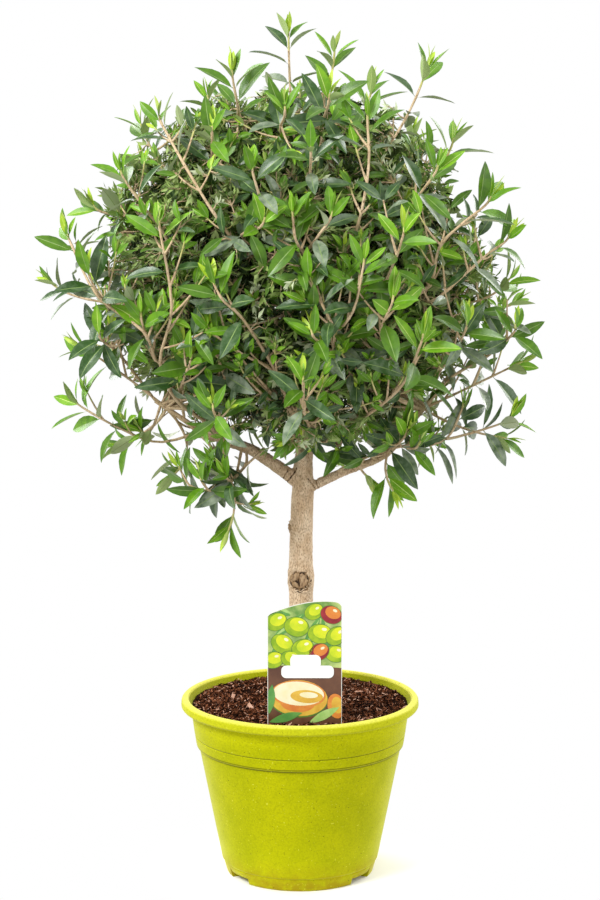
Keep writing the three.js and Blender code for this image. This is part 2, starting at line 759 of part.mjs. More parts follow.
// The dense heart of a mass: a rough lump that fills its cell, cut clear of every limb.
function coreSolid(mass, walls, limbs, random) {
  const heart = heartOf(mass);
  const ball = new THREE.IcosahedronGeometry(1, CORE.detail);
  ball.deleteAttribute('normal');
  ball.deleteAttribute('uv');
  const geometry = mergeVertices(ball, 1e-4);
  const place = geometry.attributes.position;
  for (let i = 0; i < place.count; i += 1) {
    const out = new THREE.Vector3().fromBufferAttribute(place, i).normalize();
    const reach = coreReach(mass, walls, out) * (1 - CORE.rough * random());
    const point = heart.clone().addScaledVector(out, reach);
    place.setXYZ(i, point.x, point.y, point.z);
  }
  let core = solidOf(geometry);
  for (const name of limbs.keys()) {
    core = core.subtract(limbSolid(limbs, name, CORE.cutClear));
  }
  return largestBody(core);
}

// One mass: its core, its stem, and every shoot and leaf that keeps to the cell and clear of
// the limbs. A leaf that would start inside the core is left out.
function foliageSolid(mass, massIndex, tips, limbs) {
  const walls = cellWalls(mass);
  const stem = stemOf(mass, limbs);
  const random = seeded(CROWN.seed + 1 + massIndex);
  const core = coreSolid(mass, walls, limbs, random);
  const solids = [core, solidOf(tubeGeometry(stem.points, stem.radii, STEM.sides))];
  for (const tip of tips.filter((place) => insideCell(walls, place, 0))) {
    const { points, radii } = shootLine(stem, tip);
    const standsOut = tip.distanceTo(CROWN.centre) > CROWN.reach + CROWN.reachSpread;
    const leaves = shootLeaves(points, standsOut ? SHOOT.leadingPairs : SHOOT.pairs, random);
    const segments = points.slice(1).map((point, i) => [points[i], point]);
    const inCell = points.every((point) => insideCell(walls, point, SHOOT.radius));
    if (!inCell || !clearOfLimbs(limbs, segments, SHOOT.radius)) continue;
    solids.push(solidOf(tubeGeometry(points, radii, SHOOT.sides)));
    for (const leaf of leaves) {
      const leafInCell = leaf.every((point) => insideCell(walls, point, 0));
      if (!leafInCell || !clearOfLimbs(limbs, leafEdges(leaf), 0)) continue;
      if (insideCore(mass, walls, leaf[0])) continue;
      solids.push(solidOf(triangleGeometry(leaf.flatMap((point) => point.toArray()), LEAF_FACES)));
    }
  }
  return largestBody(joined(solids));
}

// ---- The whole plant ---------------------------------------------------------------------

function meshOf(name, solid, finish) {
  const mesh = new THREE.Mesh(geometryOf(solid), new THREE.MeshStandardMaterial(finish));
  mesh.name = name;
  return mesh;
}

const tree = new THREE.Group();
const limbs = limbLines();
const tips = shootTips();

tree.add(meshOf('pot', potSolid(), COLOURS.pot));
tree.add(meshOf('soil', soilSolid(), COLOURS.soil));
tree.add(meshOf('label_card', solidOf(cardGeometry()), COLOURS.card));
tree.add(meshOf('trunk', trunkSolid(), COLOURS.bark));
for (const bough of BOUGHS) {
  tree.add(meshOf(`bough_${bough.name}`, boughSolid(limbs, bough.name), COLOURS.bark));
}
MASSES.forEach((mass, i) => {
  tree.add(meshOf(`foliage_${mass.name}`, foliageSolid(mass, i, tips, limbs), COLOURS.foliage));
});
export default tree;
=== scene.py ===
"""A young potted tree: a bare stem, a ball of slender leaves, a lime pot, soil and a plant card.

Sizes in the dataclasses are millimetres, those of the finishes metres; meshes are made in metres.
"""

from __future__ import annotations

import json
import logging
from dataclasses import dataclass, field
from enum import Enum
from math import acos, asin, cos, dist, exp, pi, radians, sin, sqrt
from typing import Callable, Iterable, Sequence

import bmesh
import bpy
import numpy as np
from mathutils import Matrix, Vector
from mathutils.kdtree import KDTree

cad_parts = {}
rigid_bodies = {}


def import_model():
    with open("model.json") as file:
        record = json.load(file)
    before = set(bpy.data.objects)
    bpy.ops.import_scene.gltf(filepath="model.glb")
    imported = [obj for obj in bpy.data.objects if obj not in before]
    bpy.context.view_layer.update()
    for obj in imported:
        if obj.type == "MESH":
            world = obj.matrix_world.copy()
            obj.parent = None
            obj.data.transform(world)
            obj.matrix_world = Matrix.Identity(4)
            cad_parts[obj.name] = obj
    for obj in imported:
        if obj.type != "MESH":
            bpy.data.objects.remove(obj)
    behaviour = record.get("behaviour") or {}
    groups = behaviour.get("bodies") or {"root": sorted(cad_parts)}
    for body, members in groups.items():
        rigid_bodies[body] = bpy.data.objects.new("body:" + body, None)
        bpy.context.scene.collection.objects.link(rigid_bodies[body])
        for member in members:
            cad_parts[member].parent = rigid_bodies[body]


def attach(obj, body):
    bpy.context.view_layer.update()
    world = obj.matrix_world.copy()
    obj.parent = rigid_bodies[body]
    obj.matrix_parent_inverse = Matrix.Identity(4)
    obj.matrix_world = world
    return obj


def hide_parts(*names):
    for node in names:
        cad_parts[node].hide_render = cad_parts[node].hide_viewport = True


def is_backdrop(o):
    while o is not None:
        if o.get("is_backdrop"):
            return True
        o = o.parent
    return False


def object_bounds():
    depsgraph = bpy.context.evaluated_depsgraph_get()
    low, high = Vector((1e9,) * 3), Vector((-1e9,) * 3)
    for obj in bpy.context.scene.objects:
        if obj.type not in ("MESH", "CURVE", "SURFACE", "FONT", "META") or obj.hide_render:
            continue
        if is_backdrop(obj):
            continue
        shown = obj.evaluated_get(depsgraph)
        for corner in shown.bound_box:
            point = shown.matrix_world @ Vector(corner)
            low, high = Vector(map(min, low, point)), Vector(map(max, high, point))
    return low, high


LOG = logging.getLogger("potted_tree")
MM = 0.001
BODY = "root"
WORD = 0xFFFFFFFF
FULL_TURN = 2 * pi
GOLDEN_TURN = pi * (3 - sqrt(5))
UP = np.array([0.0, 0.0, 1.0])
Colour = tuple[float, float, float]
Place = tuple[float, float, float]
Draws = np.random.Generator
Array = np.ndarray
Material = bpy.types.Material
Materials = Sequence[Material]
Piece = bpy.types.Object
Socket = bpy.types.NodeSocket


# ---- Numbers and lines --------


class Seeded:
    """Gives numbers from 0 to 1 by the same rule as the tree's solids."""

    def __init__(self, seed: int) -> None:
        """Starts the run of numbers at a seed."""
        self.state = seed & WORD

    def __call__(self) -> float:
        """Returns the next number."""
        self.state = (self.state + 0x6D2B79F5) & WORD
        mixed = ((self.state ^ (self.state >> 15)) * (1 | self.state)) & WORD
        mixed = ((mixed + ((mixed ^ (mixed >> 7)) * (61 | mixed) & WORD)) & WORD) ^ mixed
        return ((mixed ^ (mixed >> 14)) & WORD) / 4294967296


def unit(vectors: Array) -> Array:
    """Returns vectors, or one vector, at length 1."""
    return vectors / np.maximum(np.linalg.norm(vectors, axis=-1, keepdims=True), 1e-12)


def blend(start: float, end: float, share: float) -> float:
    """Returns the value that lies at a share of the way from start to end."""
    return start + (end - start) * share


def bend(start: Array, bow: Array, end: Array, share: float | Array) -> Array:
    """Returns the place at a share of the way from start to end, drawn towards a bow between them."""
    return (1 - share) ** 2 * start + 2 * share * (1 - share) * bow + share ** 2 * end


def bent_line(root: Array, bow: Array, end: Array, steps: int) -> Array:
    """Returns a line that leaves its root towards a place and comes to its end from there."""
    return bend(root, bow, end, np.linspace(0, 1, steps + 1)[:, None])


def full_turn(count: int) -> Array:
    """Returns evenly spread angles of a full turn."""
    return np.linspace(0, FULL_TURN, count, endpoint=False)


def level_bearing(degrees: float) -> Array:
    """Returns the level direction at a bearing anticlockwise from +X."""
    turn = radians(degrees)
    return np.array([cos(turn), sin(turn), 0.0])


def spiral_way(order: int, count: int, start: float = 0.0) -> Array:
    """Gives one of many directions spread evenly over a ball.

    Args:
        order: Its place in the spiral.
        count: How many there are.
        start: How far the spiral is turned.

    Returns:
        The direction.
    """
    up = 1 - 2 * (order + 0.5) / count
    flat, turn = sqrt(1 - up * up), order * GOLDEN_TURN + start
    return np.array([flat * cos(turn), flat * sin(turn), up])


def square_way(heading: Array, reference: Array, turn: float) -> Array:
    """Returns the direction square to a heading at a turn from level."""
    level = unit(np.cross(heading, reference))
    return level * cos(turn) + np.cross(level, heading) * sin(turn)


def leant(x: float, z: float, along: Array, aside: Array, degrees: float) -> Array:
    """Gives flat places given along and aside of a leaning line from a point.

    Args:
        x: The point's place across.
        z: Its height.
        along: Distances along the line.
        aside: Distances from it.
        degrees: How far it leans from level.

    Returns:
        The places.
    """
    tilt = radians(degrees)
    return np.column_stack([x + along * cos(tilt) - aside * sin(tilt),
                            z + along * sin(tilt) + aside * cos(tilt)])


def point_back(line: Array, steps: Array, back: float) -> tuple[Array, Array]:
    """Gives the point and the heading of a line at a distance back from its end.

    Args:
        line: The line's points.
        steps: The lengths between them.
        back: How far back.

    Returns:
        The point and the heading there.
    """
    for i in range(len(steps) - 1, -1, -1):
        if back <= steps[i] or i == 0:
            heading = unit(line[i + 1] - line[i])
            return line[i + 1] - heading * min(back, steps[i]), heading
        back -= steps[i]
    return line[0], unit(line[1] - line[0])


class SmoothCurve:
    """A curve through places, evenly timed from one to the next."""

    def __init__(self, places: Sequence[Sequence[float]]) -> None:
        """Keeps the places and adds one mirrored place past each end."""
        inner = np.array(places, float)
        self.places = np.vstack([2 * inner[0] - inner[1], inner, 2 * inner[-1] - inner[-2]])

    def at(self, share: float) -> Array:
        """Gives a point of the curve.

        Args:
            share: The share of the curve before it.

        Returns:
            The point.
        """
        spans = len(self.places) - 3
        span = min(int(share * spans), spans - 1)
        step = share * spans - span
        before, start, end, after = self.places[span:span + 4]
        leave, arrive = (end - before) / 2, (after - start) / 2
        curl = -3 * start + 3 * end - 2 * leave - arrive
        turn = 2 * start - 2 * end + leave + arrive
        return start + step * (leave + step * (curl + step * turn))

    def points(self, steps: int) -> Array:
        """Returns evenly timed points from the start to the end."""
        return np.array([self.at(i / steps) for i in range(steps + 1)])

    def at_height(self, height: float, samples: int = 400) -> Array:
        """Returns the point that lies at a height."""
        line = self.points(samples)
        return line[np.abs(line[:, 2] - height).argmin()]


def lattice_noise(points: Array, seed: int) -> Array:
    """Gives smooth noise from -1 to 1 at points a unit lattice apart.

    Args:
        points: Places, one row each.
        seed: Which noise.

    Returns:
        One value for each place.
    """
    cell = np.floor(points).astype(np.int64)
    share = points - cell
    share = share * share * (3 - 2 * share)
    total = np.zeros(len(points))
    for corner in range(8):
        step = np.array([corner & 1, (corner >> 1) & 1, corner >> 2])
        x, y, z = (cell + step).T
        mixed = (x * 374761393 + y * 668265263 + z * 2147483647 + seed * 974711) & WORD
        mixed = ((mixed ^ (mixed >> 13)) * 1274126177) & WORD
        value = ((mixed ^ (mixed >> 16)) & 0xFFFF) / 32767.5 - 1
        weight = np.where(step == 1, share, 1 - share).prod(axis=1)
        total += value * weight
    return total


def rough_noise(points: Array, seed: int, octaves: int = 3) -> Array:
    """Returns lattice noise with finer noise added, each layer half as strong as the last."""
    layers = [lattice_noise(points * 2 ** i, seed + i) / 2 ** i for i in range(octaves)]
    return np.sum(layers, axis=0)


def side_frames(lines: Array) -> tuple[Array, Array]:
    """Gives two directions square to each line at each of its points.

    Args:
        lines: Lines of equally many points, as (line, point, xyz).

    Returns:
        Two arrays of the same shape.
    """
    heading = unit(np.gradient(lines, axis=1))
    overall = unit(lines[:, -1] - lines[:, 0])
    reference = np.where(np.abs(overall[:, 2:]) > 0.8, [[0.97, 0.23, 0.0]], [[0.05, 0.08, 1.0]])
    first = unit(np.cross(heading, reference[:, None, :]))
    return first, np.cross(heading, first)


# ---- Meshes --------


def placed(name: str, data: bpy.types.ID) -> Piece:
    """Puts a mesh, a light or a camera into the scene as an object at the origin.

    Args:
        name: The object's name.
        data: The mesh, light or camera.

    Returns:
        The object.
    """
    thing = bpy.data.objects.new(name, data)
    bpy.context.scene.collection.objects.link(thing)
    return thing


@dataclass
class Faces:
    """Points and triangles gathered for one joined mesh, with a material number each."""

    points: list[Array] = field(default_factory=list)
    triangles: list[Array] = field(default_factory=list)
    slots: list[Array] = field(default_factory=list)
    count: int = 0

    def add(self, points: Array, triangles: Array, slots: Array | int = 0) -> Faces:
        """Adds points and the triangles between them.

        Args:
            points: Places, one row each or as (shape, point, xyz).
            triangles: Rows of point numbers.
            slots: Material numbers.

        Returns:
            These faces.
        """
        flat = points.reshape(-1, 3)
        self.points.append(flat)
        self.triangles.append(triangles + self.count)
        self.slots.append(np.broadcast_to(slots, len(triangles)))
        self.count += len(flat)
        return self

    def add_copies(self, points: Array, pattern: Array, slots: Array) -> Faces:
        """Adds many shapes with the same triangles.

        Args:
            points: Places, as (shape, point, xyz).
            pattern: The triangles of one shape.
            slots: Material numbers, as (shape, triangle).

        Returns:
            These faces.
        """
        starts = np.arange(len(points))[:, None, None] * points.shape[1]
        return self.add(points, (pattern[None] + starts).reshape(-1, 3), slots.reshape(-1))

    def to_object(self, name: str, materials: Materials, smooth: bool = True) -> Piece:
        """Makes the joined mesh.

        Args:
            name: The piece's name.
            materials: In the order of the material numbers.
            smooth: Whether its faces are shaded smooth.

        Returns:
            The new object, at the origin.
        """
        points = np.concatenate(self.points) * MM
        triangles = np.concatenate(self.triangles)
        mesh = bpy.data.meshes.new(name)
        mesh.vertices.add(len(points))
        mesh.vertices.foreach_set("co", points.astype(np.float32).ravel())
        mesh.loops.add(triangles.size)
        mesh.loops.foreach_set("vertex_index", triangles.astype(np.int32).ravel())
        mesh.polygons.add(len(triangles))
        mesh.polygons.foreach_set("loop_start", np.arange(len(triangles), dtype=np.int32) * 3)
        for material in materials:
            mesh.materials.append(material)
        mesh.polygons.foreach_set("material_index", np.concatenate(self.slots).astype(np.int32))
        mesh.polygons.foreach_set("use_smooth", np.full(len(triangles), smooth))
        mesh.update(calc_edges=True)
        mesh.validate()
        return placed(name, mesh)


def vectors_of(items: bpy.types.bpy_prop_collection, key: str) -> Array:
    """Gives one vector of each vertex or face of a mesh.

    Args:
        items: The vertices or faces.
        key: Which of their values.

    Returns:
        The vectors, one row each.
    """
    values = np.zeros(len(items) * 3)
    items.foreach_get(key, values)
    return values.reshape(-1, 3)


def bake_modifiers(piece: Piece) -> None:
    """Turns a piece's modifiers into its mesh.

    Args:
        piece: The piece.
    """
    graph = bpy.context.evaluated_depsgraph_get()
    made = bpy.data.meshes.new_from_object(piece.evaluated_get(graph))
    piece.modifiers.clear()
    old = piece.data
    piece.data = made
    bpy.data.meshes.remove(old)


def grid_triangles(rows: int, columns: int, wrap: bool = False) -> Array:
    """Gives the triangles of a grid of points, row by row.

    Args:
        rows: Rows of points.
        columns: Points in a row.
        wrap: Whether the last column joins the first.

    Returns:
        Triangles, two to a cell.
    """
    row, column = np.mgrid[0:rows - 1, 0:columns if wrap else columns - 1]
    beside = (column + 1) % columns
    a, b = row * columns + column, row * columns + beside
    c, d = b + columns, a + columns
    return np.stack([a, b, c, a, c, d], axis=-1).reshape(-1, 3)


def capped(points: Array, rows: int, columns: int,
           poles: dict[int, Array]) -> tuple[Array, Array]:
    """Closes a tube of rings with a pole at its ends.

    Args:
        points: The rings' points, row by row.
        rows: Rings.
        columns: Points in a ring.
        poles: The pole of the first ring as 0 and of the last as -1, where there is one.

    Returns:
        The points with the poles, and all the triangles.
    """
    triangles = [grid_triangles(rows, columns, wrap=True)]
    for end, pole in poles.items():
        start = (rows - 1) * columns if end else 0
        triangles.append(fan(start, columns, len(points), bool(end)))
        points = np.vstack([points, pole])
    return points, np.concatenate(triangles)


def fan(start: int, count: int, pole: int, onward: bool) -> Array:
    """Gives the triangles between a ring of points and its pole.

    Args:
        start: The number of the ring's first point.
        count: Points in the ring.
        pole: The pole's number.
        onward: Whether the triangles run the ring's way round.

    Returns:
        The triangles, each from the pole.
    """
    column = start + np.arange(count)
    beside = start + (np.arange(count) + 1) % count
    return np.stack([np.full(count, pole), *((column, beside) if onward else (beside, column))], axis=-1)


def tube_points(lines: Array, radii: Array, sides: int) -> Array:
    """Gives the points of tubes round lines.

    Args:
        lines: As (line, point, xyz).
        radii: As (line, point).
        sides: Points in a ring.

    Returns:
        Points, as (line, ring point, xyz).
    """
    first, second = side_frames(lines)
    turn = np.arange(sides) * 2 * pi / sides
    ring = first[:, :, None] * np.cos(turn)[:, None] + second[:, :, None] * np.sin(turn)[:, None]
    points = lines[:, :, None] + ring * radii[:, :, None, None]
    return points.reshape(len(lines), -1, 3)


def lathe(profile: Sequence[tuple[float, float]], turns: Array) -> tuple[Array, Array]:
    """Turns a profile about the Z axis.

    Args:
        profile: (radius, height) pairs; a pair on the axis is only at either end.
        turns: The angles of the columns.

    Returns:
        Points and triangles, with one point for each end on the axis.
    """
    line = np.array(profile, float)
    rows = line[line[:, 0] > 0]
    radius, height = rows[:, :1], np.broadcast_to(rows[:, 1:], (len(rows), len(turns)))
    points = np.stack([radius * np.cos(turns), radius * np.sin(turns), height], axis=-1).reshape(-1, 3)
    poles = {end: np.array([0, 0, line[end][1]]) for end in (0, -1) if line[end][0] == 0}
    return capped(points, len(rows), len(turns), poles)


def rounded(corners: Sequence[tuple[float, float, float]], steps: int = 5) -> list[tuple[float, float]]:
    """Rounds the corners of a profile.

    Args:
        corners: (radius, height, how far from the corner its rounding starts).
        steps: Pieces in each rounding.

    Returns:
        The profile's (radius, height) pairs.
    """
    line: list[tuple[float, float]] = []
    for i, (radius, height, cut) in enumerate(corners):
        here = np.array([radius, height])
        if not cut or i in (0, len(corners) - 1):
            line.append((radius, height))
            continue
        before, after = (np.array(corners[j][:2]) - here for j in (i - 1, i + 1))
        start, end = (here + unit(way) * min(cut, np.linalg.norm(way) * 0.49) for way in (before, after))
        line += [tuple(map(float, bend(start, here, end, step / steps))) for step in range(steps + 1)]
    return line


def supported(line: Sequence[tuple[float, float]], shortest: float = 3.0,
              inset: float = 0.5) -> list[tuple[float, float]]:
    """Adds points just inside the ends of a profile's straight runs, so that they stay flat to look at.

    Args:
        line: The profile's (radius, height) pairs.
        shortest: The shortest run that gets them.
        inset: How far inside they lie.

    Returns:
        The fuller profile.
    """
    full = []
    for start, end in zip(line, line[1:]):
        full.append(start)
        span = dist(start, end)
        if span > shortest:
            full += [(blend(start[0], end[0], share), blend(start[1], end[1], share))
                     for share in (inset / span, 1 - inset / span)]
    return full + [line[-1]]


def seat(piece: Piece, slot: str, *nodes: str) -> Piece:
    """Rides a piece on the plant's one body and hides the nodes that it stands for.

    Args:
        piece: The piece.
        slot: The record's material slot; not used.
        *nodes: The nodes.

    Returns:
        The piece.
    """
    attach(piece, BODY)
    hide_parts(*nodes)
    return piece


# ---- Shader groups and finishes --------


class Graph:
    """A node tree with short ways to add nodes and join them."""

    def __init__(self, tree: bpy.types.NodeTree) -> None:
        """Starts on a tree with nothing in it."""
        self.tree = tree
        tree.nodes.clear()

    def add(self, kind: str, settings: dict | None = None, **sockets: object) -> bpy.types.Node:
        """Adds a node.

        Args:
            kind: The node's type, without "ShaderNode".
            settings: Its properties by name.
            **sockets: Values or outputs for its inputs by name, spaces as underscores.

        Returns:
            The new node.
        """
        node = self.tree.nodes.new(kind if kind.startswith("NodeGroup") else "ShaderNode" + kind)
        for key, value in (settings or {}).items():
            setattr(node, key, value)
        for key, value in sockets.items():
            self.put(node, key.replace("_", " "), value)
        return node

    def put(self, node: bpy.types.Node, name: str | int, value: object) -> None:
        """Sets an input to a value, or joins an output to it.

        Args:
            node: The node.
            name: The input's name or place.
            value: The value or the output.
        """
        socket = node.inputs[name]
        if isinstance(value, Socket):
            self.tree.links.new(value, socket)
        elif isinstance(value, tuple) and len(socket.default_value) > len(value):
            socket.default_value = (*value, 1.0)
        else:
            socket.default_value = value

    def fed(self, kind: str, settings: dict, *values: object) -> bpy.types.Node:
        """Adds a node and feeds its inputs in order.

        Args:
            kind: The node's type, without "ShaderNode".
            settings: Its properties by name.
            *values: Values or outputs.

        Returns:
            The new node.
        """
        node = self.add(kind, settings)
        for place, value in enumerate(values):
            self.put(node, place, value)
        return node

    def group(self, tree: bpy.types.NodeTree, **sockets: object) -> bpy.types.Node:
        """Places a shader group with its own values."""
        return self.add("Group", {"node_tree": tree}, **sockets)

    def place(self) -> Socket:
        """Returns the place on the piece, in metres."""
        return self.add("TexCoord").outputs["Object"]

    def sum(self, operation: str, *values: object, kind: str = "Math") -> Socket:
        """Returns the outcome of a sum on numbers, or on vectors."""
        return self.fed(kind, {"operation": operation}, *values).outputs[0]

    def length(self, vector: Socket) -> Socket:
        """Returns how long a vector is."""
        return self.fed("VectorMath", {"operation": "LENGTH"}, vector).outputs["Value"]

    def spread(self, value: object, low: object = 0.0, high: object = 1.0, start: float = 0.0,
               end: float = 1.0, kind: str = "LINEAR") -> Socket:
        """Spreads a value from between two bounds to between two others.

        Args:
            value: The value.
            low: Its lower bound.
            high: Its upper bound.
            start: What the lower bound becomes.
            end: What the upper bound becomes.
            kind: How it runs between them.

        Returns:
            The spread value.
        """
        node = self.fed("MapRange", {"interpolation_type": kind}, value, low, high, start, end)
        return node.outputs["Result"]

    def ramp(self, value: object, low: float, high: float) -> Socket:
        """Returns a smooth 0 to 1 share of a value between two bounds."""
        return self.spread(value, low, high, kind="SMOOTHSTEP")

    def mix(self, share: object, first: object, second: object) -> Socket:
        """Gives a colour between two.

        Args:
            share: How much of the second.
            first: A colour.
            second: Another.

        Returns:
            The mixed colour.
        """
        node = self.add("Mix", {"data_type": "RGBA"})
        for place, value in ((0, share), (6, first), (7, second)):
            self.put(node, place, value)
        return node.outputs[2]

    def mix_shaders(self, share: object, first: bpy.types.Node, second: bpy.types.Node) -> Socket:
        """Returns a surface between two."""
        return self.fed("MixShader", {}, share, first.outputs[0], second.outputs[0]).outputs[0]


def new_group(name: str, inputs: dict[str, float],
              outputs: Iterable[str]) -> tuple[Graph, bpy.types.NodeOutputs, bpy.types.Node]:
    """Makes an empty shader group.

    Args:
        name: What the group is called.
        inputs: Its number inputs and their usual values.
        outputs: Its number outputs.

    Returns:
        The group's graph, the outputs of its input node and its output node.
    """
    tree = bpy.data.node_groups.new(name, "ShaderNodeTree")
    for key, value in inputs.items():
        socket = tree.interface.new_socket(key, in_out="INPUT", socket_type="NodeSocketFloat")
        socket.default_value = value
    for key in outputs:
        tree.interface.new_socket(key, in_out="OUTPUT", socket_type="NodeSocketFloat")
    graph = Graph(tree)
    return graph, graph.add("NodeGroupInput").outputs, graph.add("NodeGroupOutput")


class SharedGroups:
    """The shader groups that more than one finish uses, each built once."""

    def __init__(self) -> None:
        """Builds them all."""
        self.mottle = self._mottle()
        self.flecks = self._flecks()

    def _mottle(self) -> bpy.types.NodeTree:
        """Returns soft clouding at one scale with finer clouding in it."""
        names = {"Scale": 60.0, "Low": 0.35, "High": 0.65}
        graph, given, out = new_group("mottle", names, ["Mask", "Height"])
        noise = graph.add("TexNoise", Vector=graph.place(), Scale=given["Scale"], Detail=4.0, Roughness=0.6)
        graph.put(out, "Mask", graph.spread(noise.outputs["Fac"], given["Low"], given["High"]))
        graph.put(out, "Height", noise.outputs["Fac"])
        return graph.tree

    def _flecks(self) -> bpy.types.NodeTree:
        """Returns scattered flecks, drawn out along Z by Stretch."""
        names = {"Scale": 300.0, "Stretch": 1.0, "Low": 0.6, "High": 0.7}
        graph, given, out = new_group("flecks", names, ["Mask"])
        squeeze = graph.add("CombineXYZ", X=1.0, Y=1.0, Z=graph.sum("DIVIDE", 1.0, given["Stretch"]))
        scaled = graph.sum("MULTIPLY", graph.place(), squeeze.outputs[0], kind="VectorMath")
        noise = graph.add("TexNoise", Vector=scaled, Scale=given["Scale"], Detail=2.0)
        graph.put(out, "Mask", graph.spread(noise.outputs["Fac"], given["Low"], given["High"]))
        return graph.tree


@dataclass(frozen=True)
class Finish:
    """A surface's look, by the name of its material."""

    name: str

    def material(self, groups: SharedGroups) -> Material:
        """Makes the material.

        Args:
            groups: The shared shader groups.

        Returns:
            The material.
        """
        material = bpy.data.materials.new(self.name)
        material.use_nodes = True
        self.dress(Graph(material.node_tree), groups)
        return material

    def dress(self, graph: Graph, groups: SharedGroups) -> None:
        """Builds the material's nodes."""
        raise NotImplementedError

    @staticmethod
    def close(graph: Graph, colour: object, roughness: object, height: object, bump: float, depth: float,
              **shader: object) -> None:
        """Ends a material in a Principled shader.

        Args:
            graph: The material's graph.
            colour: Its base colour, as an output.
            roughness: Its roughness, as an output or a value.
            height: The relief, as an output.
            bump: How strong the relief is.
            depth: How deep it is, in metres.
            **shader: Values of the shader's other sockets.
        """
        relief = graph.add("Bump", Strength=bump, Distance=depth, Height=height)
        surface = graph.add("BsdfPrincipled", Base_Color=colour, Roughness=roughness,
                            Normal=relief.outputs["Normal"], **shader)
        graph.add("OutputMaterial", Surface=surface.outputs["BSDF"])


@dataclass(frozen=True)
class LeafFinish(Finish):
    """A leaf's skin: glossy above, paler and duller underneath, a little clouded; the dark and blue leaves' pale
    clouding is a painted sheen, and the undersides are made paler still as painted light.
    """

    upper: Colour
    clouded: Colour
    # The paler underside, raised further as painted light, since undersides face down into shade.
    under: Colour
    roughness: float = 0.36
    coat: float = 0.15
    cloud_scale: float = 120.0
    cloud_low: float = 0.4
    cloud_span: float = 0.22

    def dress(self, graph: Graph, groups: SharedGroups) -> None:
        """Builds the material's nodes.

        Args:
            graph: The material's empty graph.
            groups: The shared shader groups.
        """
        cloud = graph.group(groups.mottle, Scale=self.cloud_scale, Low=self.cloud_low,
                            High=self.cloud_low + self.cloud_span)
        # On the dark and blue leaves the clouded colour is pale: a painted sheen in patches.
        above = graph.mix(cloud.outputs["Mask"], self.upper, self.clouded)
        back = graph.add("NewGeometry").outputs["Backfacing"]
        dull = graph.spread(back, start=self.roughness, end=min(self.roughness + 0.3, 1.0))
        fine = graph.group(groups.mottle, Scale=700.0)
        self.close(graph, graph.mix(back, above, self.under), dull, fine.outputs["Height"], 0.4, 0.0004,
                   Coat_Weight=self.coat, Coat_Roughness=0.3, Specular_IOR_Level=0.3)


@dataclass(frozen=True)
class BarkFinish(Finish):
    """Bark: a ground colour, pale weathering, dark upright flecks and a fine relief."""

    ground: Colour
    pale: Colour
    dark: Colour
    fleck_scale: float = 420.0
    fleck_low: float = 0.56
    fleck_high: float = 0.66
    cloud_scale: float = 45.0
    bump: float = 0.6
    sheen: float = 0.0

    def dress(self, graph: Graph, groups: SharedGroups) -> None:
        """Builds the material's nodes.

        Args:
            graph: The material's empty graph.
            groups: The shared shader groups.
        """
        cloud = graph.group(groups.mottle, Scale=self.cloud_scale, Low=0.38, High=0.68)
        fleck = graph.group(groups.flecks, Scale=self.fleck_scale, Stretch=2.4, Low=self.fleck_low,
                            High=self.fleck_high).outputs["Mask"]
        fine = graph.group(groups.mottle, Scale=900.0)
        colour = graph.mix(fleck, graph.mix(cloud.outputs["Mask"], self.ground, self.pale), self.dark)
        depth = graph.sum("SUBTRACT", fine.outputs["Height"], fleck)
        self.close(graph, colour, 0.88, depth, self.bump, 0.0006, Specular_IOR_Level=0.2,
                   Sheen_Weight=self.sheen, Sheen_Roughness=0.4, Sheen_Tint=(1.0, 0.86, 0.66, 1.0))


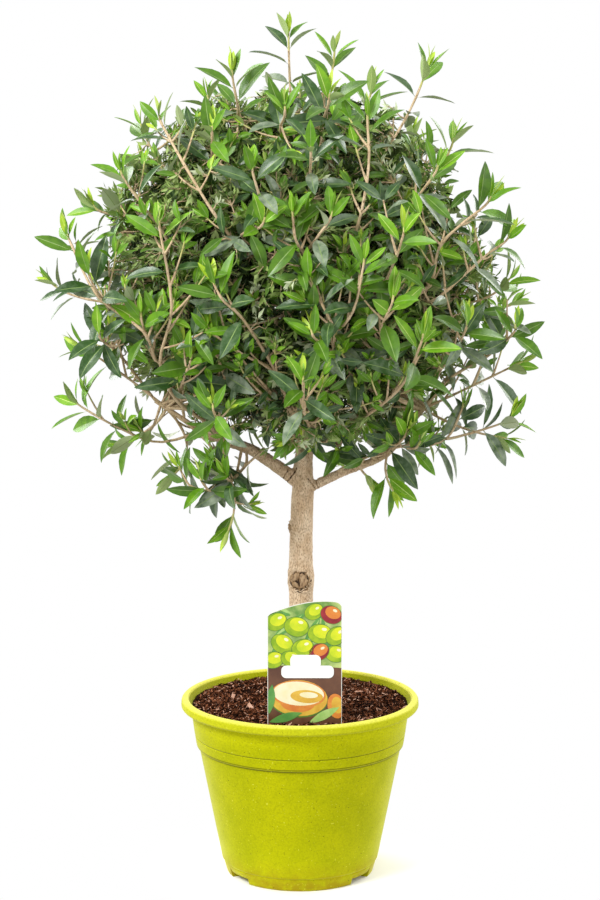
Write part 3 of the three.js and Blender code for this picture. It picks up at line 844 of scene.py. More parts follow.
@dataclass(frozen=True)
class PlasticFinish(Finish):
    """Moulded plastic with recycled flakes in it: clouding, fine grain and a few dark specks, with painted light
    and shade by height: lighter below the lip, a paler lip with a painted highlight on its top edge, a darker
    inner wall, dark lines at the crease and the step that are painted shadow and dirt, and wear at the foot
    darkened as painted shade.
    """

    ground: Colour
    cloud: Colour
    speck: Colour
    # Ochre wear at the foot, made darker as painted shade.
    worn_and_shade: Colour
    flake: Colour
    # The lip's colour is paler than the body: a painted highlight where light falls on the lip from above.
    lip: Colour
    # The top edge's colour is a painted highlight along the lip's crest.
    edge: Colour
    # The inner colour is darker: painted shade on the inner wall below the lip.
    inner: Colour
    # The seam colour draws dark lines at the crease and the step: painted shadow and dirt.
    shadow_and_dirt_seam: Colour
    # The band's colour is lighter than the body: painted light below the lip, where the lip's shade falls.
    painted_light_band: Colour
    painted_light_band_from: float = 0.148
    lip_from: float = 0.1715
    highlight_edge_from: float = 0.1785
    shaded_wall_radius: float = 0.1133
    shadow_and_dirt_seams: tuple[tuple[float, float], ...] = ((0.144, 0.0006), (0.1338, 0.0009), (0.1314, 0.0016))
    worn_and_shade_top: float = 0.036
    grain: float = 0.36
    sheen: float = 0.4

    def dress(self, graph: Graph, groups: SharedGroups) -> None:
        """Builds the material's nodes.

        Args:
            graph: The material's empty graph.
            groups: The shared shader groups.
        """
        cloud = graph.group(groups.mottle, Scale=26.0, Low=0.36, High=0.7).outputs["Mask"]
        scuff = graph.group(groups.mottle, Scale=90.0, Low=0.3, High=0.6).outputs["Mask"]
        skin = graph.group(groups.mottle, Scale=1400.0)
        grain, speck, flake = (
            graph.group(groups.flecks, Scale=scale, Stretch=stretch, Low=low, High=high).outputs["Mask"]
            for scale, stretch, low, high in ((560.0, 1.0, 0.42, 0.8), (400.0, 1.0, 0.715, 0.735),
                                              (470.0, 0.8, 0.69, 0.73)))
        height = graph.add("SeparateXYZ", Vector=graph.place()).outputs["Z"]
        radius = graph.length(graph.sum("MULTIPLY", graph.place(), (1.0, 1.0, 0.0), kind="VectorMath"))
        raised = graph.ramp(height, self.lip_from, self.lip_from + 0.001)
        # The inner wall, above the lip's foot and inside this radius, gets painted shade.
        shaded_inner_wall = graph.ramp(radius, self.shaded_wall_radius, self.shaded_wall_radius - 0.0006)
        layers = [
            # Painted light by height: lighter below the lip against its shade, and the lip itself paler.
            (graph.ramp(height, self.painted_light_band_from, self.lip_from - 0.002), self.painted_light_band), (raised, self.lip),
            # Painted highlight along the lip's top edge.
            (graph.ramp(height, self.highlight_edge_from, self.highlight_edge_from + 0.003), self.edge),
            (graph.sum("MULTIPLY", shaded_inner_wall, raised), self.inner),
            (graph.sum("MULTIPLY", grain, self.grain), self.speck),
            # Wear in patches towards the foot, darkened as painted shade.
            (graph.sum("MULTIPLY", graph.ramp(height, self.worn_and_shade_top, 0.0), scuff), self.worn_and_shade)]
        # Dark lines at the crease and under the step: painted shadow and dirt.
        for level, wide in self.shadow_and_dirt_seams:
            gap = graph.sum("ABSOLUTE", graph.sum("SUBTRACT", height, level))
            layers.append((graph.ramp(gap, wide, 0.0), self.shadow_and_dirt_seam))
        colour = graph.mix(cloud, self.ground, self.cloud)
        for share, tint in [*layers, (flake, self.flake), (speck, self.speck)]:
            colour = graph.mix(share, colour, tint)
        dull = graph.spread(cloud, start=0.46, end=0.6)
        self.close(graph, colour, dull, skin.outputs["Height"], 0.22, 0.0004, Specular_IOR_Level=0.04,
                   Sheen_Weight=self.sheen, Sheen_Roughness=0.35, Sheen_Tint=(1.0, 1.0, 0.4, 1.0))


@dataclass(frozen=True)
class PrintFinish(Finish):
    """Printed card: one ink, a little clouded, under a smooth varnish."""

    ground: Colour
    cloud: Colour
    scale: float = 90.0
    roughness: float = 0.32
    bump: float = 0.04
    depth: float = 0.0004
    gloss: float = 0.5

    def dress(self, graph: Graph, groups: SharedGroups) -> None:
        """Builds the material's nodes.

        Args:
            graph: The material's empty graph.
            groups: The shared shader groups.
        """
        cloud = graph.group(groups.mottle, Scale=self.scale, Low=0.35, High=0.65)
        colour = graph.mix(cloud.outputs["Mask"], self.ground, self.cloud)
        self.close(graph, colour, self.roughness, cloud.outputs["Height"], self.bump, self.depth,
                   Specular_IOR_Level=self.gloss)


@dataclass(frozen=True)
class SoilFinish(PrintFinish):
    """Damp potting mix: clouded as print is, but dull and crumbly."""

    scale: float = 260.0
    roughness: float = 0.8
    bump: float = 0.7
    depth: float = 0.001
    gloss: float = 0.04


# ---- The limbs --------


@dataclass(frozen=True)
class Bough:
    """A bough: what it springs from and how far up that, its way, and its two end radii."""

    name: str
    parent: str
    height: float
    via: tuple[Place, ...]
    radii: tuple[float, float]


@dataclass(frozen=True)
class Mass:
    """A mass of foliage by its heart: a bearing about the crown, how far out and how high."""

    name: str
    bearing: float
    out: float
    height: float
    flat: float = 1.0


@dataclass
class Limb:
    """A limb as a curve and its radius at a share of its length."""

    curve: SmoothCurve
    radius: Callable[[float], float]


@dataclass
class Plan:
    """The sizes that the tree's limbs and leaf masses grow from, the same as its solids'."""

    foot: float = 172.3
    trunk: tuple[Place, ...] = (
        (1, 0, 172.3), (1, 0, 282), (1.2, 0, 340), (3, 0, 400), (5, 1, 435),
        (19, 3, 490), (34, 6, 548), (26, 9, 622), (6, 10, 682))
    stem_radius: float = 12.7
    fork_radius: float = 11.3
    fork_height: float = 385.0
    leader_radius: float = 8.4
    leader_height: float = 440.0
    tip_radius: float = 3.4
    flare_radius: float = 7.0
    flare_height: float = 14.0
    collar: float = 1.25
    collar_length: float = 0.12
    gap: float = 0.3
    neck: float = 5.0
    centre: Place = (-7.0, 0.0, 612.0)
    core_radius: float = 92.0
    core_cover: float = 22.0
    core_flat_cover: float = 6.0
    core_inner: float = 56.0
    core_wall_gap: float = 3.0
    core_clearance: float = 3.0
    last_stretch: float = 14.0
    cell_margin: float = 0.6
    masses: tuple[Mass, ...] = (
        Mass("low_left", 189, 138, 488, 0.6), Mass("low_front", 268, 112, 494, 0.62),
        Mass("low_right", 352, 138, 488, 0.6), Mass("low_back", 92, 116, 492, 0.62),
        Mass("mid_left", 207, 118, 604), Mass("mid_front", 284, 118, 612),
        Mass("mid_right", 352, 120, 600), Mass("mid_back_right", 58, 120, 606),
        Mass("mid_back_left", 136, 120, 604), Mass("upper_left", 182, 80, 700),
        Mass("upper_front", 305, 78, 704), Mass("upper_back", 52, 80, 702), Mass("top", 95, 10, 744))
    boughs: tuple[Bough, ...] = (
        Bough("mid_left", "trunk", 400, ((-44, -8, 434), (-90, -24, 462)), (6.6, 3.8)),
        Bough("low_left", "mid_left", 450, ((-92, -20, 452),), (3.7, 2.8)),
        Bough("low_right", "trunk", 394, ((41, -8, 413), (84, -14, 432)), (4.8, 3.2)),
        Bough("mid_right", "trunk", 446, ((41, -2, 460), (74, -8, 484)), (4.6, 3.2)),
        Bough("low_front", "trunk", 414, ((0, -32, 440), (-6, -60, 460)), (4.6, 3)),
        Bough("low_back", "trunk", 408, ((2, 34, 436), (-4, 66, 458)), (4.8, 3)),
        Bough("mid_front", "trunk", 468, ((16, -24, 502), (20, -50, 540)), (4.4, 3)),
        Bough("mid_back_right", "trunk", 458, ((28, 28, 488), (40, 54, 526)), (4.4, 3)),
        Bough("mid_back_left", "trunk", 436, ((-26, 26, 468), (-58, 52, 514)), (4.6, 3)),
        Bough("upper_left", "trunk", 492, ((-24, -6, 528), (-56, -6, 586)), (4.6, 3)),
        Bough("upper_front", "trunk", 540, ((40, -20, 584), (40, -44, 632)), (4, 2.8)),
        Bough("upper_back", "trunk", 552, ((42, 22, 596), (46, 40, 640)), (4, 2.8)))

    def __post_init__(self) -> None:
        """Works out every heart and every limb."""
        self.middle = np.array(self.centre)
        self.hearts = {mass.name: self._heart(mass) for mass in self.masses}
        self.limbs = {"trunk": Limb(SmoothCurve(self.trunk), self._trunk_share_radius)}
        for bough in self.boughs:
            self.limbs[bough.name] = self._bough_limb(bough)

    def _heart(self, mass: Mass) -> Array:
        """Gives the middle of a mass.

        Args:
            mass: The mass.

        Returns:
            Its middle.
        """
        heart = self.middle + mass.out * level_bearing(mass.bearing)
        heart[2] = mass.height
        return heart

    @property
    def trunk_curve(self) -> SmoothCurve:
        """Returns the trunk's line."""
        return self.limbs["trunk"].curve

    def trunk_radius(self, height: float) -> float:
        """Gives the trunk's radius at a height.

        Args:
            height: The height.

        Returns:
            The radius.
        """
        flare = self.flare_radius * exp((self.foot - height) / self.flare_height)
        if height < self.fork_height:
            share = (height - self.foot) / (self.fork_height - self.foot)
            return blend(self.stem_radius, self.fork_radius, share) + flare
        if height < self.leader_height:
            share = (height - self.fork_height) / (self.leader_height - self.fork_height)
            return blend(self.fork_radius, self.leader_radius, share)
        share = (height - self.leader_height) / (self.trunk[-1][2] - self.leader_height)
        return blend(self.leader_radius, self.tip_radius, share)

    def _trunk_share_radius(self, share: float) -> float:
        """Returns the trunk's radius at a share of its curve."""
        return self.trunk_radius(float(self.trunk_curve.at(share)[2]))

    def core_reach(self, mass: Mass, direction: Array) -> float:
        """Gives how far a mass's dense core reaches from its heart in a direction.

        Args:
            mass: The mass.
            direction: The direction, at length 1.

        Returns:
            The distance.
        """
        heart = self.hearts[mass.name]
        stretched = direction / np.array([1, 1, mass.flat])
        reach = self.core_radius / float(np.linalg.norm(stretched))
        for name, other in self.hearts.items():
            if name == mass.name:
                continue
            normal = unit(other - heart)
            half = float(np.linalg.norm(other - heart)) / 2 - self.cell_margin
            slope = float(normal @ direction)
            if slope > 0:
                reach = min(reach, (half - self.core_wall_gap) / slope)
        start = heart - self.middle
        along, square = float(start @ direction), float(start @ start)
        cover = self.core_flat_cover if mass.flat < 1 else self.core_cover
        shell = along ** 2 - square + (sqrt(square) + cover) ** 2
        reach = min(reach, -along + sqrt(shell))
        hollow = along ** 2 - square + self.core_inner ** 2
        if along < 0 and hollow > 0:
            reach = min(reach, -along - sqrt(hollow))
        return reach

    def _bough_limb(self, bough: Bough) -> Limb:
        """Gives a bough's curve to just outside its mass's core, and its taper.

        Args:
            bough: The bough.

        Returns:
            The limb.
        """
        mass = next(mass for mass in self.masses if mass.name == bough.name)
        heart = self.hearts[bough.name]
        root = self.limbs[bough.parent].curve.at_height(bough.height)
        last = np.array(bough.via[-1], float)
        away = unit(last - heart)
        far = float(np.linalg.norm(last - heart)) - self.last_stretch
        tip = heart + away * min(self.core_reach(mass, away) + self.core_clearance, far)

        def radius(share: float) -> float:
            """Returns the bough's radius at a share of its curve."""
            swell = 1 + (self.collar - 1) * exp(-share / self.collar_length)
            return blend(bough.radii[0], bough.radii[1], share) * swell

        return Limb(SmoothCurve([root, *bough.via, tip]), radius)

    def stem(self, mass: Mass, steps: int = 10) -> tuple[Array, float]:
        """Gives the line that a mass's shoots spring from.

        Args:
            mass: The mass.
            steps: Pieces in the bend from the limb's tip to the heart.

        Returns:
            The line's points and the radius of the limb that it carries on.
        """
        limb = self.limbs.get(mass.name, self.limbs["trunk"])
        points = limb.curve.points(16 if mass.name == "top" else 4)
        heading = unit(points[-1] - points[-2])
        root = points[-1] + heading * self.gap
        neck = root + heading * self.neck
        curve = SmoothCurve([root, neck, blend(neck, self.hearts[mass.name], 0.5), self.hearts[mass.name]])
        return curve.points(steps), limb.radius(1.0)


# ---- Bark --------


@dataclass(frozen=True)
class Scar:
    """A healed pruning scar: its size, its height on the trunk, how far it stands out, its bearing."""

    radius: float
    height: float
    proud: float
    bearing: float


@dataclass
class Woodwork:
    """The trunk and boughs as one skin with the bark's relief and the healed pruning scars."""

    plan: Plan
    voxel: float = 1.0
    sides: int = 28
    ring_gap: float = 3.0
    sunk: float = 4.0
    ridge: float = 0.34
    grain: float = 0.26
    crotch_smoothing: int = 4
    scars: tuple[Scar, ...] = (Scar(10.0, 304.5, 2.2, 262.0), Scar(4.5, 357.0, 3.6, 188.0))
    large: float = 6.0
    split_bearings: tuple[float, ...] = (4.0, 108.0)
    swelling: float = 1.5
    collars: tuple[tuple[str, float], ...] = (
        ("mid_left", 12.5), ("mid_left", 17.5), ("low_right", 12.0), ("low_right", 16.5))

    def build(self, skins: Materials) -> list[Piece]:
        """Makes the skin, gives it relief and dresses the scars.

        Args:
            skins: The materials of the bark, of a scar's rim and of its cracked middle; the last, nearly black,
                also marks the creases, as painted shade.

        Returns:
            The one piece.
        """
        piece = self._gather()
        self._fuse(piece)
        mesh = piece.data
        places, normals = vectors_of(mesh.vertices, "co") / MM, vectors_of(mesh.vertices, "normal")
        places += normals * (self._relief(places) + self._scar_relief(places))[:, None]
        places[:, 2] = np.maximum(places[:, 2], self.plan.foot)
        mesh.vertices.foreach_set("co", (places * MM).ravel())
        for material in skins:
            mesh.materials.append(material)
        self._mark_scars(mesh)
        mesh.update()
        return [seat(piece, "bark", "trunk", *("bough_" + bough.name for bough in self.plan.boughs))]

    def _tube(self, limb: Limb, sunk: float = 0.0) -> tuple[Array, Array]:
        """Makes the closed tube of a limb.

        Args:
            limb: The limb.
            sunk: How far its root is lowered.

        Returns:
            The tube's points and triangles.
        """
        length = float(np.linalg.norm(np.diff(limb.curve.points(40), axis=0), axis=1).sum())
        steps = max(6, int(length / self.ring_gap))
        line = limb.curve.points(steps)
        radii = np.array([limb.radius(i / steps) for i in range(steps + 1)])
        line[0, 2] -= sunk
        points = tube_points(line[None], radii[None], self.sides)[0]
        return capped(points, len(line), self.sides, {0: line[0], -1: line[-1]})

    def _gather(self) -> Piece:
        """Returns every limb's tube and each scar's swelling in one object."""
        faces = Faces()
        for name, limb in self.plan.limbs.items():
            faces.add(*self._tube(limb, self.sunk if name == "trunk" else 0.0))
        for scar in self.scars:
            facing, trunk = level_bearing(scar.bearing), self.plan.trunk_radius(scar.height)
            surface = self.plan.trunk_curve.at_height(scar.height) + facing * (trunk - 1.8)
            line = np.array([surface - facing * 6, surface, surface + facing * scar.proud * 0.9])
            lump = Limb(SmoothCurve(line), lambda share, r=scar.radius: r * (1.05 - 0.3 * share ** 2))
            faces.add(*self._tube(lump))
        return faces.to_object("bark", [])

    def _fuse(self, piece: Piece) -> None:
        """Joins the tubes into one skin and eases the crotches.

        Args:
            piece: The tubes, changed in place.
        """
        fuse = piece.modifiers.new("fuse", "REMESH")
        fuse.mode = "VOXEL"
        fuse.voxel_size = self.voxel * MM
        ease = piece.modifiers.new("ease", "SMOOTH")
        ease.iterations = self.crotch_smoothing
        ease.factor = 0.6
        bake_modifiers(piece)

    def _relief(self, points: Array) -> Array:
        """Gives how far the bark stands out at each point.

        Args:
            points: The bark's points.

        Returns:
            One distance for each.
        """
        lumps = rough_noise(points * np.array([0.36, 0.36, 0.11]), 11, 2)
        fine = rough_noise(points * np.array([1.1, 1.1, 0.5]), 37, 2)
        return self.ridge * lumps + self.grain * fine

    def _at_scar(self, scar: Scar, points: Array) -> tuple[Array, Array, Array]:
        """Measures points against a scar with its uneven, heart-shaped edge.

        Args:
            scar: The scar.
            points: The points.

        Returns:
            How far out of the trunk's middle each is towards the scar, how far from the scar's own
            middle as a share of its edge, and whether it lies in a crack.
        """
        facing = level_bearing(scar.bearing)
        out = points - self.plan.trunk_curve.at_height(scar.height)
        across, up = out @ np.cross(UP, facing), out[:, 2]
        dent = 0.24 * np.exp(-(across / 2.6) ** 2) * np.clip(up / scar.radius, 0, 1)
        away = np.hypot(across, up) / scar.radius * (1 + 0.09 * rough_noise(points * 0.3, 71, 2)) + dent
        wander = 0.1 * rough_noise(points * 0.4, 83, 2)
        split = np.abs(away - 0.92) < 0.1
        for degrees in self.split_bearings:
            turn = radians(degrees)
            off = np.abs((across * cos(turn) + up * sin(turn)) / scar.radius + wander)
            split |= (off < 0.2 - 0.17 * away) & (away < 0.85) & (across < 1.6)
        split |= (np.abs(away - 1.15) < 0.06) & (across > -0.3 * scar.radius) & (up < 0)
        return out @ facing, away, split

    def _scar_relief(self, points: Array) -> Array:
        """Gives the rolled rim and the sunken, cracked middle of each scar.

        Args:
            points: The bark's points.

        Returns:
            How far out each point is moved.
        """
        total = np.zeros(len(points))
        for scar in self.scars:
            depth, away, split = self._at_scar(scar, points)
            rim = np.exp(-((away - 1.2) / 0.2) ** 2) * scar.proud * 0.5
            dome = np.clip(1 - away ** 2, 0, 1) * scar.proud * 0.35
            near = depth > self.plan.trunk_radius(scar.height) * 0.4
            total += np.where(near, rim + dome - 1.1 * split, 0)
            if scar.radius > self.large:
                total += self.swelling * np.exp(-((points[:, 2] - scar.height) / 13) ** 2)
        return total - 0.7 * self._collar_marks(points)

    def _collar_marks(self, points: Array) -> Array:
        """Finds the creases round the roots of the fork's two boughs.

        Args:
            points: The places to look at.

        Returns:
            Whether each lies in a crease.
        """
        marks = np.zeros(len(points), bool)
        wander = 1.6 * rough_noise(points * 0.16, 57, 2)
        for name, reach in self.collars:
            line = self.plan.limbs[name].curve.points(80)
            axis = line[:, :2] - self.plan.trunk_curve.at_height(line[0, 2])[:2]
            ring = int(np.abs(np.hypot(axis[:, 0], axis[:, 1]) - reach).argmin())
            way = unit(line[ring + 1] - line[ring])
            out = points - line[ring]
            along = out @ way
            aside = np.linalg.norm(out - along[:, None] * way, axis=1)
            marks |= (np.abs(along + wander) < 0.62) & (aside < 12) & (wander > -0.75)
        return marks

    def _mark_scars(self, mesh: bpy.types.Mesh) -> None:
        """Gives the faces of each scar and crease their own materials; the cracks and creases get the nearly black
        one, as painted shade.

        Args:
            mesh: The bark's mesh.
        """
        centres = vectors_of(mesh.polygons, "center") / MM
        slots = np.zeros(len(centres), np.int32)
        for scar in self.scars:
            depth, away, split = self._at_scar(scar, centres)
            near = depth > self.plan.trunk_radius(scar.height) * 0.5
            slots[near & (away < 1.0)] = 1
            # Cracks and creases: nearly black, painted shade in them.
            slots[near & split & (scar.radius > self.large)] = 2
        slots[self._collar_marks(centres)] = 2
        mesh.polygons.foreach_set("material_index", slots)
        mesh.polygons.foreach_set("use_smooth", np.full(len(centres), True))


# ---- Foliage --------


class Tone(Enum):
    """The tones that leaves are dealt, and the number of each one's material."""

    BUD = 0
    YOUNG = 1
    FRESH = 2
    GREEN = 3
    DARK = 4
    BLUE = 5
    YOUNG_RIB = 6
    RIB = 7


class TwigTone(Enum):
    """The tones of twigs, and the number of each one's material."""

    WOOD = 0
    GREEN = 1


@dataclass
class LeafShape:
    """How a full leaf is cut and bent, and how finely it is made."""

    rows: tuple[float, ...] = (0.0, 0.08, 0.2, 0.34, 0.5, 0.66, 0.82, 0.93, 1.0)
    columns: tuple[float, ...] = (-1.0, -0.52, -0.055, 0.055, 0.52, 1.0)
    stalk: float = 0.09
    fold: float = 0.34
    wave: float = 0.05

    def outline(self, share: Array) -> Array:
        """Gives the half width at a share of the length, of the widest.

        Args:
            share: The share of the length.

        Returns:
            The half width as a share.
        """
        blade = np.clip((share - self.stalk) / (1 - self.stalk), 0, 1)
        shape = np.sin(pi * blade ** 0.86) ** 0.82
        return np.maximum(shape, np.where(share < 0.5, 0.075, 0.02))

    def points(self, leaves: LeafBatch) -> Array:
        """Gives the points of many leaves, as (leaf, point, xyz).

        Args:
            leaves: The leaves.

        Returns:
            The points.
        """
        row = np.array(self.rows)[None, :, None]
        column = np.array(self.columns)[None, None, :]
        length = leaves.length[:, None, None]
        bend = leaves.bend[:, None, None]
        turn = bend * row
        safe = np.where(np.abs(bend) < 1e-3, 1e-3, bend)
        forward = length * np.sin(safe * row) / safe
        fall = length * (1 - np.cos(safe * row)) / safe
        half = leaves.width[:, None, None] / 2 * self.outline(row)
        ripple = self.wave * np.sin(row * 9 + leaves.phase[:, None, None] + column * 2) * np.abs(column)
        side = column * half * cos(self.fold)
        rise = (np.abs(column) * sin(self.fold) + ripple) * half
        twist = leaves.twist[:, None, None] * row
        axis, across, face = (v[:, None, None, :] for v in (leaves.axis, leaves.across, leaves.face))
        across, face = (across * np.cos(twist)[..., None] + face * np.sin(twist)[..., None],
                        face * np.cos(twist)[..., None] - across * np.sin(twist)[..., None])
        upward = face * np.cos(turn)[..., None] + axis * np.sin(turn)[..., None]
        points = (leaves.root[:, None, None, :] + axis * forward[..., None] - face * fall[..., None]
                  + across * side[..., None] + upward * rise[..., None])
        return points.reshape(len(leaves.root), -1, 3)

    def triangles(self) -> Array:
        """Returns the triangles of one leaf."""
        return grid_triangles(len(self.rows), len(self.columns))

    def rib_faces(self) -> Array:
        """Returns which triangles of a leaf lie on its midrib."""
        cells = len(self.columns) - 1
        column = np.arange(len(self.triangles())) // 2 % cells
        return column == (cells - 1) // 2 if cells % 2 else np.zeros(len(column), bool)


@dataclass
class LeafBatch:
    """Many leaves, each by its root, its directions, its size, its bend and its tone."""

    root: Array
    axis: Array
    face: Array
    length: Array
    width: Array
    bend: Array
    twist: Array
    phase: Array
    tone: Array

    def __post_init__(self) -> None:
        """Squares the face to the axis and works out the direction across."""
        self.axis = unit(self.axis)
        along = (self.face * self.axis).sum(axis=1, keepdims=True)
        self.face = unit(self.face - self.axis * along)
        self.across = np.cross(self.axis, self.face)


@dataclass
class Shoot:
    """A shoot: its line, its radii at both ends, how much it bears and its tone."""

    line: Array
    radii: tuple[float, float]
    pairs: int
    size: float
    tone: Tone
    tuft: bool = True
    roll: float = 0.0


@dataclass
class Sprays:
    """Sets pairs of leaves along shoots, each pair a quarter turn on from the last."""

    leaf_length: float = 42.0
    leaf_width: float = 14.0
    starts: tuple[float, ...] = (1.5, 6.0, 16.0, 31.0, 50.0, 72.0, 94.0)
    sizes: tuple[float, ...] = (0.5, 0.74, 0.97, 1.04, 1.0, 0.96, 0.9)
    spreads: tuple[float, ...] = (15.0, 29.0, 47.0, 60.0, 66.0, 68.0, 70.0)
    droop: float = 0.14
    light: Place = (-0.08, -0.3, 0.4)
    ages: tuple[tuple[Tone, Tone], ...] = (
        (Tone.BUD, Tone.YOUNG), (Tone.YOUNG, Tone.FRESH), (Tone.FRESH, Tone.GREEN), (Tone.GREEN, Tone.DARK),
        (Tone.DARK, Tone.BLUE))
    crown_middle: Place = (-7.0, 0.0, 612.0)

    def leaves(self, shoot: Shoot, random: Draws) -> list[tuple]:
        """Gives the leaves of one shoot.

        Args:
            shoot: The shoot.
            random: Draws the small differences.

        Returns:
            A row for each leaf: root, axis, face, length, width, bend, twist, phase, tone.
        """
        rows = []
        steps = np.linalg.norm(np.diff(shoot.line, axis=0), axis=1)
        reach = float(steps.sum())
        first = 0 if shoot.tuft else 2
        away = unit(shoot.line[-1] - np.array(self.crown_middle))
        light = np.array(self.light) + away * 0.75
        for order in range(first, min(first + shoot.pairs, len(self.starts))):
            back = self.starts[order] * shoot.size - (self.starts[first] * shoot.size if first else 0) + 1.0
            if back > reach * 0.92:
                break
            node, heading = point_back(shoot.line, steps, back)
            turn = shoot.roll + order * pi / 2 + random.normal(0, 0.14)
            out = square_way(heading, UP + 0.01 * shoot.line[0] / 600, turn)
            age = order / (len(self.starts) - 1)
            for side in (1, -1):
                if order >= 3 and random.random() < 0.12:
                    continue
                spread = radians(self.spreads[order] + random.normal(0, 5))
                axis = heading * cos(spread) + out * side * sin(spread)
                axis = axis + np.array([0, 0, -self.droop * age * 2]) + random.normal(0, 0.04, 3)
                size = shoot.size * self.sizes[order] * (1 + random.normal(0, 0.07))
                slim = 1 + random.normal(0, 0.07)
                face = heading * 0.45 + light + random.normal(0, 0.2, 3)
                rows.append((node + out * side * 0.6, axis, face, self.leaf_length * size,
                             self.leaf_width * size * slim * (0.8 if order == 0 else 1.0),
                             random.normal(0.25 + 0.35 * age, 0.14), random.normal(0, 0.22),
                             random.random() * 6.3, self.tone(shoot, order, random)))
        if shoot.tuft:
            node, heading = shoot.line[-1], unit(shoot.line[-1] - shoot.line[-2])
            face = unit(np.cross(np.cross(heading, UP + 0.01), heading))
            rows.append((node, heading + random.normal(0, 0.05, 3), face, self.leaf_length * 0.5 * shoot.size,
                         self.leaf_width * 0.42 * shoot.size, 0.1, 0.0, 0.0, Tone.BUD))
        return rows

    def tone(self, shoot: Shoot, order: int, random: Draws) -> Tone:
        """Gives a leaf's tone: the older the further back, and older all over on a dark spray.

        Args:
            shoot: The shoot.
            order: The leaf's pair, from the tip.
            random: Draws the differences.

        Returns:
            The tone.
        """
        age = order + {Tone.FRESH: -1, Tone.GREEN: 0}.get(shoot.tone, 1) * (order > 1)
        age = min(max(age, min(order, 1) if shoot.tuft else 2), len(self.ages) - 1)
        return self.ages[age][int(random.random() < 0.55)]


BRANCHES: tuple[tuple[Place, ...], ...] = (
    ((36, -12, 444), (40, -36, 446)), ((58, -29, 428), (61, -34, 420)), ((10, -14, 452), (24, -46, 450)),
    ((2, -14, 470), (3, -48, 466)),
    ((-93, -25, 467), (-119, -76, 495), (-132, -125, 537), (-118, -170, 594), (-128, -169, 662)),
    ((-134, -97, 534), (-146, -145, 569), (-190, -124, 600), (-216, -103, 647)),
    ((-169, -93, 578), (-185, -122, 596), (-195, -136, 616)),
    ((-135, -83, 533), (-143, -124, 557), (-147, -145, 577)),
    ((-85, -25, 462), (-136, -32, 448), (-172, -34, 459), (-214, -37, 483)),
    ((-24, -125, 531), (-52, -170, 582), (-69, -185, 600), (-76, -186, 611)),
    ((-26, -124, 530), (-52, -149, 547), (-80, -159, 568)),
    ((20, -79, 500), (32, -163, 564), (23, -186, 592), (10, -186, 616)),
    ((32, -155, 572), (49, -186, 593), (57, -186, 629)),
    ((-28, -154, 668), (-36, -175, 693), (-42, -185, 714)),
    ((5, -162, 639), (-4, -186, 657), (-6, -186, 672)), ((5, -147, 638), (14, -177, 656), (26, -186, 673)),
    ((11, -126, 691), (10, -170, 731)),
    ((46, -146, 650), (57, -162, 684), (63, -159, 725), (62, -153, 758)),
    ((-46, -142, 639), (-75, -162, 674), (-98, -160, 710), (-127, -128, 758)),
    ((-124, -116, 652), (-146, -128, 684), (-163, -126, 708)),
    ((70, -140, 606), (86, -171, 635), (93, -186, 658)),
    ((89, -102, 666), (108, -133, 692), (123, -146, 713)),
    ((113, -113, 601), (129, -141, 646), (146, -149, 666), (171, -140, 685)),
    ((123, -115, 594), (154, -124, 620), (175, -123, 639), (191, -123, 650)),
    ((150, -25, 512), (184, -25, 532), (202, -103, 562)),
    ((47, -25, 463), (74, -106, 492), (97, -141, 520), (111, -171, 559)),
    ((71, -115, 556), (75, -165, 576), (83, -186, 596)),
    ((137, -25, 515), (148, -84, 543), (155, -132, 568)),
    ((115, -32, 443), (145, -33, 452), (158, -30, 476)),
    ((41, -31, 421), (90, -30, 441), (153, -34, 453), (200, -38, 468)),
    ((71, -30, 434), (90, -30, 441), (101, -67, 457)), ((11, -25, 454), (4, -142, 492), (3, -186, 522)),
    ((-62, -25, 454), (-73, -102, 472), (-80, -154, 493)),
    ((-36, -26, 440), (-55, -31, 423), (-68, -35, 410), (-79, -33, 421)),
    ((-55, -31, 423), (-81, -38, 402), (-106, -40, 404), (-115, -38, 415)),
    ((21, -95, 750), (26, -137, 778)), ((-15, -103, 747), (-14, -143, 768)),
    ((-54, -44, 758), (-58, -105, 777), (-62, -119, 799)), ((-83, -87, 708), (-81, -145, 748)),
    ((-178, -25, 534), (-187, -130, 560)), ((33, -131, 550), (14, -183, 566)),
    ((77, -25, 490), (51, -113, 533), (33, -131, 552)),
    ((-73, -95, 517), (-77, -120, 541), (-80, -132, 558)), ((-52, -148, 654), (-36, -186, 668)),
    ((-115, -25, 474), (-115, -88, 507), (-103, -147, 538)),
    ((-64, -34, 413), (-70, -56, 414)), ((-86, -38, 403), (-94, -60, 410)),
    ((100, -32, 444), (112, -62, 446)))
"""Branches that run up the card's side of the crown, each by places from its root to its tip."""


